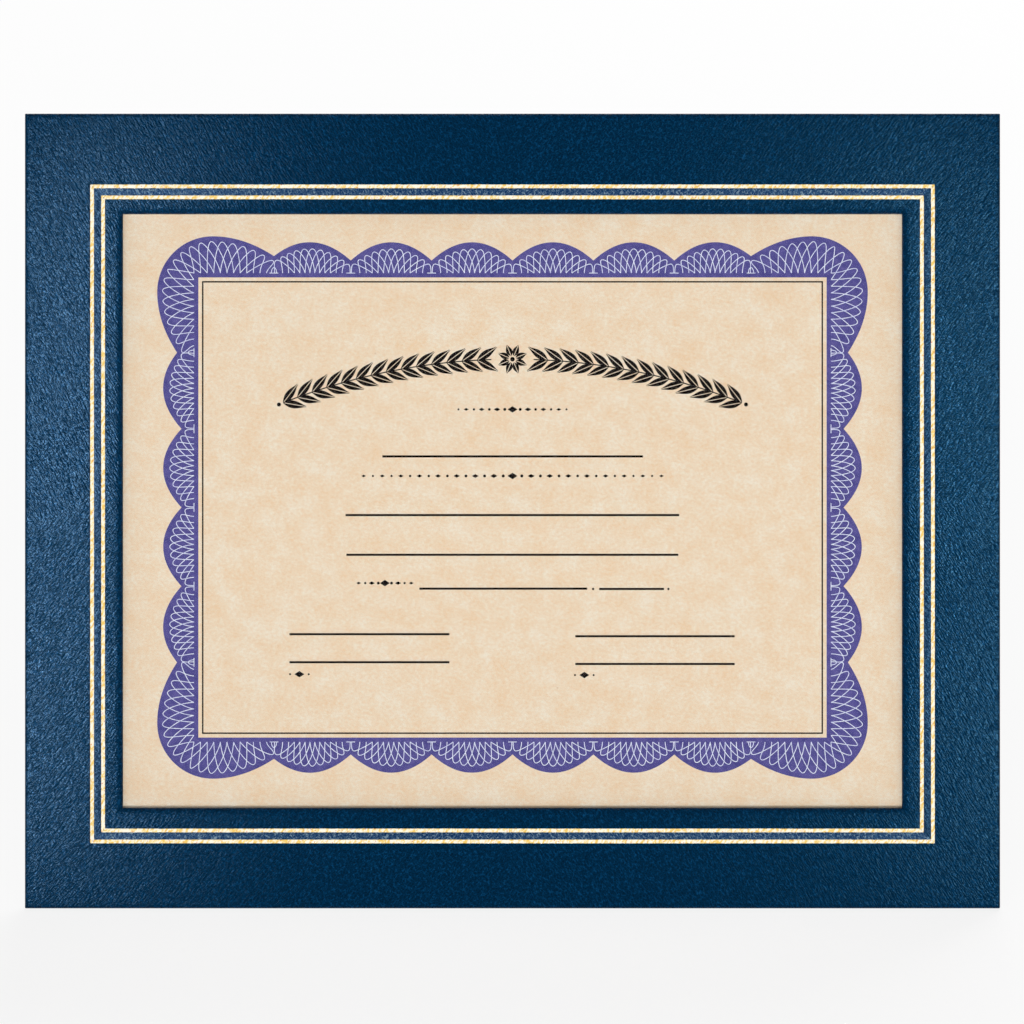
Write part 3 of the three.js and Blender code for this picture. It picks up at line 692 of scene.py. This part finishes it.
def cover_loops():
    loops = []

    def from_outer(inset, y):
        corner = max(PLAN_CORNER - inset, WINDOW_CORNER)
        places = rounded_rectangle(HALF_COVER[0] - inset, HALF_COVER[1] - inset, corner, SIDE_STEPS)
        loops.append([(x, y, z) for x, z in places])

    def from_window(offset, y, drop=0.0):
        half_x, half_z = (half + offset for half in HALF_WINDOW)
        places = rounded_rectangle(half_x, half_z, WINDOW_CORNER, SIDE_STEPS, -drop)
        loops.append([(x, y, z) for x, z in places])

    back = COVER_HIGH.y
    from_outer(OUTER_TURN_IN, back)
    for inset, depth in reversed(roll_points(BACK_ROLL, BACK_ROLL, ROLL_STEPS)):
        from_outer(inset, back - depth)
    for inset, depth in roll_points(*OUTER_ROLL, ROLL_STEPS):
        from_outer(inset, FACE + depth)
    first_groove = GROOVES[0] + FOIL_WIDTH / 2 + SHOULDER
    border = HALF_COVER[0] - HALF_WINDOW[0]
    plain = border - OUTER_ROLL[0] - first_groove
    for i in range(1, FACE_STEPS):
        share = i / FACE_STEPS
        from_outer(OUTER_ROLL[0] + plain * share, FACE)
    for index, offset in enumerate(GROOVES):
        for distance, y in groove_profile(offset):
            from_window(distance, y, FOIL_DROP)
        if index == 0:
            from_window(STRIP_MIDDLE, 0.0, FOIL_DROP)
    for distance, y in reversed(roll_points(*WINDOW_ROLL, ROLL_STEPS)):
        from_window(distance, FACE + y)
    from_window(0, back)
    from_window(WINDOW_TURN_IN, back)
    from_window(WINDOW_TURN_IN, back - COVER_THICKNESS)
    from_window(COVER_THICKNESS, back - COVER_THICKNESS)
    from_window(COVER_THICKNESS, WINDOW_ROLL[1])
    from_window(WINDOW_ROLL[0], COVER_THICKNESS)
    from_outer(OUTER_ROLL[0], COVER_THICKNESS)
    from_outer(COVER_THICKNESS, OUTER_ROLL[1])
    from_outer(COVER_THICKNESS, back - COVER_THICKNESS)
    from_outer(OUTER_TURN_IN, back - COVER_THICKNESS)
    return loops


def add_cover():
    return add_piece("cover_leatherette", Parts(cover_loops()), LEATHERETTE,
                     replaces=("leatherette_cover",), sharp=SOFT_ANGLE)


# The foil lines

def foil_edge(base, place, seed):
    """A foil edge's distance from its line's middle, made ragged by the grain below."""
    coarse = noise.noise(Vector((place.x * 0.8, place.y * 0.8, seed)))
    fine = noise.noise(Vector((place.x * 2.3, place.y * 2.3, seed + 9)))
    return base + FOIL_RAGGED * (0.6 * coarse + fine)


def add_foil_line(side, seed):
    offset = foil_offset(side)
    half_x = HALF_WINDOW[0] + offset
    half_z = HALF_WINDOW[1] + offset
    steps = round(2 * half_x / FOIL_STEP)
    middle = rounded_rectangle(half_x, half_z, WINDOW_CORNER, steps, -FOIL_DROP)

    def outward(place):
        """Away from the line's middle, square to the nearest side, or to both at a corner."""
        across = abs(place.x) - (half_x - WINDOW_CORNER)
        upward = abs(place.y + FOIL_DROP) - (half_z - WINDOW_CORNER)
        x = math.copysign(1, place.x) if across > 0 else 0
        z = math.copysign(1, place.y + FOIL_DROP) if upward > 0 else 0
        return Vector((x, z))

    half = FOIL_WIDTH / 2
    section = [(half, FOIL_TOP + FOIL_BODY), (half, FOIL_TOP + FOIL_CROWN), (half / 2, FOIL_TOP)]
    section += [(-distance, y) for distance, y in reversed(section)]
    loops = []
    for distance, y in section:
        loop = []
        for place in middle:
            edge = abs(distance) == half
            reach_out = foil_edge(abs(distance), place, seed + distance) if edge else abs(distance)
            shifted = place + outward(place) * math.copysign(reach_out, distance)
            loop.append((shifted.x, y, shifted.y))
        loops.append(loop)
    add_piece(f"foil_line_{side}", Parts(loops), FOIL, replaces=(f"gold_foil_line_{side}",))


# The printed sheet

def side_frames():
    """The band's sides, clockwise: the inner edge's middle, the ways along it and out, and its kind."""
    for kind, x, y in (("wide", 1, 0), ("high", 0, -1), ("wide", -1, 0), ("high", 0, 1)):
        out = Vector((-y, x))
        yield out * BAND_HALF[OTHER[kind]], Vector((x, y)), out, kind


def scallops(kind):
    """Each scallop of a side: its first and last cusp along the side, and their depths."""
    cusps = [-place for place in reversed(CUSPS[kind][1:])] + list(CUSPS[kind])
    depths = [CUSP_DEPTH] * len(cusps)
    depths[0] = CORNER_CUSP_DEPTH
    depths[-1] = CORNER_CUSP_DEPTH
    return list(zip(cusps, cusps[1:], depths, depths[1:]))


def scallop_depth(share, first, last):
    """How far out a scallop's edge is, at a share of -1 to 1 of the way between its cusps."""
    cusp = first + (last - first) * (share + 1) / 2
    return cusp + (CREST_DEPTH - (first + last) / 2) * (1 - abs(share) ** SCALLOP_POWER)


def lobe_edge(cusp, inset):
    """Half of a corner lobe's edge, from its cusp to its diagonal: (distance in from the corner, out)."""
    flank = cusp - LOBE_CENTRE
    places = []
    for i in range(LOBE_STEPS):
        share = 1 - i / LOBE_STEPS
        out = LOBE_DEPTH - (LOBE_DEPTH - CORNER_CUSP_DEPTH) * share ** SCALLOP_POWER
        places.append(Vector((LOBE_CENTRE + flank * share, out - inset)))
    radius = LOBE_DEPTH + LOBE_CENTRE - inset
    centre = Vector((LOBE_CENTRE, -LOBE_CENTRE))
    for i in range(LOBE_STEPS + 1):
        angle = math.pi / 2 + math.pi / 4 * i / LOBE_STEPS
        places.append(centre + heading(angle) * radius)
    return places


def lobes(inset=0.0):
    """Each corner, the ways along and out before it, and its lobe's halves from cusp to diagonal."""
    for middle, along, out, kind in side_frames():
        corner = middle + along * BAND_HALF[kind]
        leaving, arriving = (
            lobe_edge(BAND_HALF[side] - CUSPS[side][-1], inset) for side in (kind, OTHER[kind]))
        yield (corner, along, out, [corner - along * p.x + out * p.y for p in leaving],
               [corner - out * p.x + along * p.y for p in arriving])


def band_outline():
    """The band's outer edge, once round, clockwise from the top left corner's lobe."""
    outline = []
    for (middle, along, out, kind), (*_, leaving, arriving) in zip(side_frames(), lobes()):
        for first, last, depth_first, depth_last in scallops(kind):
            for i in range(SCALLOP_STEPS):
                share = 2 * i / SCALLOP_STEPS - 1
                place = first + (last - first) * (share + 1) / 2
                outline.append(middle + along * place + out * scallop_depth(share, depth_first, depth_last))
        outline.extend(leaving)
        outline.extend(reversed(arriving[:-1]))
    return outline


def raised(places):
    """Places of the band, moved up to where it is printed on the sheet."""
    return [Vector((place.x, place.y + BAND_RISE)) for place in places]


def add_print(name, parts, material):
    add_piece(name, parts, material, body="sheet")


def add_band():
    outline = band_outline()
    wide, high = BAND_HALF.values()
    inner = [Vector((max(-wide, min(wide, p.x)), max(-high, min(high, p.y)))) for p in outline]
    outline, inner = raised(outline), raised(inner)
    loops = [[(p.x, y, p.y) for p in places] for places, y in (
        (outline, PRINT_BACK), (outline, BAND_FRONT), (inner, BAND_FRONT), (inner, PRINT_BACK))]
    add_print("printed_band", Parts(loops), VIOLET)


def scallop_lines():
    """The loops of line work in every scallop."""
    for middle, along, out, kind in side_frames():
        for first, last, depth_first, depth_last in scallops(kind):
            half = (last - first) / 2
            centre = middle + along * (first + last) / 2
            for i in range(-LOOPS_EACH_SIDE, LOOPS_EACH_SIDE + 1):
                share = CREST_PITCH * i * (1 - CREST_SHRINK * i * i)
                depth = scallop_depth(share, depth_first, depth_last) - CREST_INSET
                crest = centre + along * share * half + out * depth
                for step in (-FOOT_REACH, FOOT_REACH):
                    j = i + step
                    foot_share = FOOT_PITCH * j * (1 + FOOT_GROWTH * abs(j))
                    if abs(j) > LOOPS_EACH_SIDE + 1:
                        foot_share = math.copysign(CUSP_FOOT, j)
                    foot = centre + along * foot_share * half + out * BASE_OUT
                    toward = along if step > 0 else -along
                    yield strand(crest, toward, foot, out)
            for cusp, depth in ((first, depth_first), (last, depth_last)):
                foot = middle + along * cusp + out * BASE_OUT
                yield [foot - along * SERIF_WIDTH / 2, foot + along * SERIF_WIDTH / 2]
                if depth == CORNER_CUSP_DEPTH:
                    for toward in (-along, along):
                        yield strand(foot + out * CURL_HEIGHT, toward, foot + toward * CURL_HALF, out)


def strand(crest, toward, foot, outward):
    """A strand that leaves its crest in a given direction and stands steeper the less it leans."""
    fall = crest - foot
    height = max(fall.dot(outward), LEAST_HEIGHT)
    lateral = fall - outward * fall.dot(outward)
    lean = min(lateral.length / height, MOST_LEAN)
    first = crest + toward * STRAND_SWING * min(1.0, height / TALL_STRAND)
    stand = max(LEAST_STAND, STAND - STAND_LOSS * lean)
    second = foot + outward * height * stand + lateral * SIDE_PULL * lean
    places = []
    for i in range(STRAND_STEPS + 1):
        t = i / STRAND_STEPS
        upper = crest * (1 - t) ** 3 + first * 3 * t * (1 - t) ** 2
        lower = second * 3 * t * t * (1 - t) + foot * t ** 3
        places.append(upper + lower)
    return places


def walk(path, distance):
    """The place that far along a path, and the path's direction there."""
    for start, end in zip(path, path[1:]):
        step = end - start
        if distance <= step.length or end is path[-1]:
            return start + step.normalized() * distance, step.normalized()
        distance -= step.length


def lobe_lines():
    """The loops of line work in the four corner lobes."""
    for corner, along, out, leaving, arriving in lobes(LOBE_INSET):
        for i in range(LOBE_LOOPS):
            step = i - (LOBE_LOOPS - 1) / 2
            crest, way = walk((leaving if step < 0 else arriving)[::-1], abs(step) * LOBE_PITCH)
            forward = -way if step < 0 else way
            for foot_step in (step - FOOT_REACH, step + FOOT_REACH):
                distance = abs(foot_step) * LOBE_FOOT_PITCH
                if foot_step < 0:
                    foot = corner + (along + out) * BASE_OUT - along * distance
                    outward = out
                else:
                    foot = corner + (along + out) * BASE_OUT - out * distance
                    outward = along
                toward = forward if foot_step > step else -forward
                yield strand(crest, toward, foot, outward)


def add_line_work():
    parts = Parts()
    for line in (*scallop_lines(), *lobe_lines()):
        parts.stroke(raised(line), LINE_WIDTH, LINES_FRONT)
    add_print("printed_line_work", parts, PALE)


def add_rule():
    """The thin dark rule inside the band."""
    loops = []
    for grow, y in ((1, PRINT_BACK), (1, RULE_FRONT), (-1, RULE_FRONT), (-1, PRINT_BACK)):
        half_x, half_z = (half - RULE_INSET + grow * RULE_WIDTH / 2 for half in BAND_HALF.values())
        loops.append([(x * half_x, y, z * half_z + BAND_RISE) for x, z in CORNERS])
    add_print("printed_rule", Parts(loops), BLACK)


def disc(centre, radius, sides=16):
    return [centre + heading(2 * math.pi * i / sides) * radius for i in range(sides)]


def lozenge(centre, width, height):
    return [centre + Vector(offset) for offset in (
        (-width / 2, 0), (0, -height / 2), (width / 2, 0), (0, height / 2))]


def half_leaf(base, angle, length, width, side):
    """One half of a pointed leaf from its base along an angle, with a narrow gap along its vein."""
    along = heading(angle)
    out = Vector((-along.y, along.x)) * side
    outline = []
    for i in range(LEAF_STEPS + 1):
        share = i / LEAF_STEPS
        swell = math.sin(math.pi * share ** 0.8) * width / 2
        outline.append(base + along * length * share + out * max(swell, VEIN))
    return outline + [base + along * length + out * VEIN / 2, base + out * VEIN / 2]


def garland(parts):
    """An arched garland of leaves that grows from both ends towards a rosette."""
    middle = Vector((0, GARLAND_TOP - GARLAND_RADIUS))
    sweep = math.asin(GARLAND_HALF / GARLAND_RADIUS)

    def on_arc(share):
        angle = math.pi / 2 - sweep * share
        return middle + heading(angle) * GARLAND_RADIUS, angle

    def part_way(start, share):
        return start + (1 - start) * share

    def add_leaf(base, angle, length, width):
        for side in (-1, 1):
            parts.plate(half_leaf(base, angle, length, width, side))

    for sign in (-1, 1):
        stem = [on_arc(sign * part_way(STEM_START, i / STEM_STEPS))[0] for i in range(STEM_STEPS + 1)]
        parts.stroke(stem, STEM_WIDTH)
        for i in range(GARLAND_PAIRS):
            base, angle = on_arc(sign * part_way(LEAVES_START, i / (GARLAND_PAIRS - 1)))
            inward = angle + sign * math.pi / 2
            for turn in (-1, 1):
                add_leaf(base, inward + turn * math.radians(LEAF_ANGLE), LEAF_LENGTH, LEAF_WIDTH)
        parts.plate(disc(on_arc(sign * BERRY_PLACE)[0], BERRY_RADIUS))
    heart, _ = on_arc(0)
    for i in range(ROSETTE_PETALS):
        angle = 2 * math.pi * i / ROSETTE_PETALS + math.pi / ROSETTE_PETALS
        base = heart + heading(angle) * PETAL_START
        add_leaf(base, angle, ROSETTE_RADIUS - PETAL_START, PETAL_WIDTH)
    parts.plate(disc(heart, HEART_RADIUS))


def divider(parts, centre, half_width, beads):
    """A lozenge with a row of beads to each side that get smaller outwards."""
    middle = Vector(centre)
    parts.plate(lozenge(middle, *DIVIDER_MIDDLE))
    for sign in (-1, 1):
        for i in range(1, beads + 1):
            share = i / beads
            place = middle + Vector((sign * half_width * share, 0))
            bead, width, height = (size - less * share for size, less in DIVIDER_SIZES)
            parts.plate(disc(place, bead, BEAD_SIDES) if i % 2 else lozenge(place, width, height))


def add_ornaments():
    parts = Parts()
    garland(parts)
    for centre, half_width, beads in DIVIDERS:
        divider(parts, centre, half_width, beads)
    add_print("printed_ornaments", parts, BLACK)


def add_writing_lines():
    parts = Parts()
    for left, right, z in WRITING_LINES:
        parts.stroke([(left, z), (right, z)], WRITING_WIDTH)
    for place in WRITING_DOTS:
        parts.plate(disc(Vector(place), DOT_RADIUS, BEAD_SIDES))
    add_print("printed_writing_lines", parts, BLACK)


# The hardware on the back

LINER_BACK = in_panel("back_liner")[1].y
LEG_PIVOT = (PANEL.inverted() @ Vector(joint("leg_fold")["pos_m"]) / MM).yz


def rounded_path(corners, radius, steps):
    """An open line of (across, up) corners with its inner corners rounded."""
    path = [corners[0]]
    for before, corner, after in zip(corners, corners[1:], corners[2:]):
        back, on = (before - corner).normalized(), (after - corner).normalized()
        half_angle = math.acos(back.dot(on)) / 2
        centre = corner + (back + on).normalized() * radius / math.sin(half_angle)
        start = corner + back * radius / math.tan(half_angle) - centre
        end = corner + on * radius / math.tan(half_angle) - centre
        for i in range(steps + 1):
            path.append(centre + start.slerp(end, i / steps).normalized() * radius)
    return path + [corners[-1]]


def evenly(path, step):
    """Places about a step apart along a line, both ends among them."""
    length = sum((end - start).length for start, end in zip(path, path[1:]))
    count = round(length / step)
    return [walk(path, min(length * i / count, length - 1e-6))[0] for i in range(count + 1)]


def ribbon_section(thick):
    """Half of the ribbon's section, (across, out): a flat middle between two corded edges."""
    half = RIBBON_WIDTH / 2
    edge = RIBBON_THICKNESS / 2
    cord = zip(RIBBON_CORD, (edge, edge, edge * thick))
    outline = [(half, 0)] + [(half - inset, y) for inset, y in cord]
    return outline + [(-x, y) for x, y in reversed(outline)]


def add_ribbon():
    """Glued to the liner and to the leg's inner face, and taut between them, with ribs across it."""
    leg_paper = LEG_INNER_FACE - RIBBON_OFF

    def on_leg(down):
        return LEG_PIVOT + heading(LEG_OPEN) * leg_paper + heading(LEG_OPEN - math.pi / 2) * down

    def on_frame(down):
        return Vector((LINER_BACK + RIBBON_OFF, LEG_PIVOT.y - down))

    corners = [on_frame(RIBBON_DROP - RIBBON_TAB), on_frame(RIBBON_DROP),
               on_leg(RIBBON_DROP), on_leg(RIBBON_DROP + RIBBON_TAB)]
    path = evenly(rounded_path(corners, RIBBON_BEND, RIBBON_BEND_STEPS), RIBBON_RIB / 2)
    loops = []
    for i, (place, side) in enumerate(with_sides(path)):
        upper = ribbon_section(RIB_LEVELS[i % 2])
        section = upper + [(x, -y) for x, y in reversed(upper[1:-1])]
        loops.append([(x, *(place + side * out)) for x, out in section])
    ribbon = add_piece("ribbon_limit", Parts(loops, closed=False), RIBBON,
                       replaces=("limit_ribbon",), sharp=SOFT_ANGLE)
    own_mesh(ribbon)


def add_ring():
    """A three-cornered ring of round wire that hangs plumb by its straight bar, off the leaning panel."""
    half = RING_WIDTH / 2
    corners = [Vector(corner) for corner in ((0, 0), (half, 0), (0, -RING_HEIGHT), (-half, 0), (0, 0))]
    path = rounded_path(corners, RING_CORNER, RING_CORNER_STEPS)[:-1]
    loops = []
    for i, place in enumerate(path):
        along = (path[(i + 1) % len(path)] - path[i - 1]).normalized()
        side = Vector((along.y, -along.x))
        loop = []
        for j in range(WIRE_SIDES):
            angle = 2 * math.pi * j / WIRE_SIDES
            across = place + side * RING_WIRE * math.cos(angle)
            loop.append((across.x, RING_WIRE * math.sin(angle), across.y))
        loops.append(loop)
    add_piece("ring_wire", Parts(loops), STEEL, body="ring", replaces=("hanger_ring",),
              place=Matrix.Translation(joint("ring_swing")["pos_m"]))


def soften(node, width):
    """A narrow bevel along a CAD node's sharp edges."""
    bevel = nodes[node].modifiers.new("soft_edge", "BEVEL")
    bevel.width = width * MM
    bevel.segments = 2
    bevel.limit_method = "ANGLE"
    bevel.angle_limit = math.radians(40)
    bevel.harden_normals = False


def finish_cad_nodes():
    for material, names in CAD_FINISHES.items():
        for name in names:
            mesh = nodes[name].data
            mesh.materials.clear()
            mesh.materials.append(material)
            shade(mesh)
    for name, width in SOFT_EDGES.items():
        soften(name, width)


# The stage

WORLD_LEVEL = 0.2
FLOOR_HALF = 12
FLOOR_GREY = 0.9
FLOOR_WHITE = 0.85  # how white the camera sees the floor; the rest is its own grey and shadow

# Each lamp's place in the panel's frame, in metres, its width and height, and its watts
LAMPS = {
    "soft_fill": ((0, -1.3, -0.33), (0.4, 0.2), 12),
    "soft_left": ((-0.95, -2.85, 0.1), (0.4, 0.8), 8.8),
    "soft_right": ((0.95, -2.85, 0.1), (0.4, 0.8), 8.8),
    "soft_back": ((0.6, 1.6, 2.6), (1.6, 1.6), 65),
}

# How far across each gleam stands, in metres, its watts and its colour
GLEAMS = {
    "gleam_left": (-0.2, 1.75, (1.0, 0.87, 0.9)),
    "gleam_right": (0.22, 1.15, (0.75, 0.94, 0.96)),
}
GLEAM_AWAY = 0.13  # in front of the panel
GLEAM_AIM = 0.15  # the middle of a side border, from the panel's middle
GLEAM_SIZE = (0.03, 0.25)
GLEAM_SPREAD = math.radians(60)

CAMERA_DISTANCE = 3.0
SENSOR = 36.0
PHOTO_SIZE = 1024
PANEL_IN_PHOTO = 975  # the panel's width in the photograph, in pixels
PANEL_MIDDLE = (512.5, 511.0)


def show_white(tree, plain, white, share, output):
    """Mixes a plain shader with a white one, by that share, where the camera or a gloss sees it."""
    path = tree.nodes.new("ShaderNodeLightPath")
    seen = path.outputs["Is Camera Ray"]
    for ray in ("Is Glossy Ray", "Is Transmission Ray"):
        either = tree.nodes.new("ShaderNodeMath")
        either.operation = "MAXIMUM"
        tree.links.new(seen, either.inputs[0])
        tree.links.new(path.outputs[ray], either.inputs[1])
        seen = either.outputs[0]
    part = tree.nodes.new("ShaderNodeMath")
    part.operation = "MULTIPLY"
    part.inputs[1].default_value = share
    tree.links.new(seen, part.inputs[0])
    mix = tree.nodes.new("ShaderNodeMixShader")
    tree.links.new(part.outputs[0], mix.inputs["Fac"])
    tree.links.new(plain.outputs[0], mix.inputs[1])
    tree.links.new(white.outputs[0], mix.inputs[2])
    tree.links.new(mix.outputs[0], tree.nodes[output].inputs["Surface"])


def add_world():
    world = bpy.data.worlds.new("studio")
    bpy.context.scene.world = world
    world.use_nodes = True
    tree = world.node_tree
    plain = tree.nodes["Background"]
    white = tree.nodes.new("ShaderNodeBackground")
    for shader, strength in ((plain, WORLD_LEVEL), (white, 1)):
        shader.inputs["Color"].default_value = (1, 1, 1, 1)
        shader.inputs["Strength"].default_value = strength
    show_white(tree, plain, white, 1, "World Output")


def add_floor():
    mesh = bpy.data.meshes.new("floor")
    corners = [(x * FLOOR_HALF, y * FLOOR_HALF, 0) for x, y in CORNERS]
    mesh.from_pydata(corners, [], [(0, 1, 2, 3)])
    floor = bpy.data.objects.new("floor", mesh)
    bpy.context.scene.collection.objects.link(floor)
    material = bpy.data.materials.new("floor")
    material.use_nodes = True
    tree = material.node_tree
    plain = tree.nodes["Principled BSDF"]
    plain.inputs["Base Color"].default_value = (FLOOR_GREY, FLOOR_GREY, FLOOR_GREY, 1)
    plain.inputs["Roughness"].default_value = 0.9
    plain.inputs["Specular IOR Level"].default_value = 0
    show_white(tree, plain, tree.nodes.new("ShaderNodeEmission"), FLOOR_WHITE, "Material Output")
    mesh.materials.append(material)


def add_lamp(name, place, size, watts, aim=(0, 0, 0)):
    """A rectangular soft lamp at a place in the panel's frame, in metres, aimed at another."""
    light = bpy.data.lights.new(name, "AREA")
    light.shape = "RECTANGLE"
    light.size, light.size_y = size
    light.energy = watts
    lamp = bpy.data.objects.new(name, light)
    bpy.context.scene.collection.objects.link(lamp)
    at = PANEL @ Vector(place)
    lamp.location = at
    lamp.rotation_euler = (PANEL @ Vector(aim) - at).to_track_quat("-Z", "Y").to_euler()
    lamp.visible_camera = False
    lamp.visible_transmission = False
    return lamp


def add_lamps():
    """A fill lamp low in front that casts no gloss, a key lamp to each side, and one for the back."""
    lamps = {name: add_lamp(name, *settings) for name, settings in LAMPS.items()}
    lamps["soft_fill"].visible_glossy = False


def add_gleams(cover):
    """A lamp close in front of each side border that lights the cover alone and brings out its gloss."""
    lit = bpy.data.collections.new("lit_by_gleams")
    lit.objects.link(cover)
    for name, (across, watts, colour) in GLEAMS.items():
        aim = (math.copysign(GLEAM_AIM, across), 0, 0)
        lamp = add_lamp(name, (across, -GLEAM_AWAY, 0), GLEAM_SIZE, watts, aim)
        lamp.data.spread = GLEAM_SPREAD
        lamp.data.color = colour
        lamp.visible_diffuse = False
        lamp.light_linking.receiver_collection = lit


def add_camera():
    """Looks at the panel along its own normal, at the photograph's scale."""
    data = bpy.data.cameras.new("camera")
    camera = bpy.data.objects.new("camera", data)
    bpy.context.scene.collection.objects.link(camera)
    data.sensor_width = SENSOR
    silhouette = OUTER_ROLL[1] * MM
    view_width = 2 * HALF_COVER[0] * MM * PHOTO_SIZE / PANEL_IN_PHOTO
    data.lens = SENSOR * (CAMERA_DISTANCE + silhouette) / view_width
    data.shift_x = (PHOTO_SIZE / 2 - PANEL_MIDDLE[0]) / PHOTO_SIZE
    data.shift_y = (PANEL_MIDDLE[1] - PHOTO_SIZE / 2) / PHOTO_SIZE
    data.clip_start = 0.1
    data.clip_end = 50
    at = PANEL @ Vector((0, -CAMERA_DISTANCE, 0))
    camera.matrix_world = Matrix.Translation(at) @ Matrix((ACROSS, UP, -BACK)).transposed().to_4x4()
    bpy.context.scene.camera = camera


bpy.context.scene.view_settings.view_transform = "Standard"
add_camera()
add_world()
add_floor()

finish_cad_nodes()
add_lamps()
add_gleams(add_cover())
add_foil_line("outer", 3.0)
add_foil_line("inner", 17.0)
add_band()
add_line_work()
add_rule()
add_ornaments()
add_writing_lines()
add_ribbon()
add_ring()
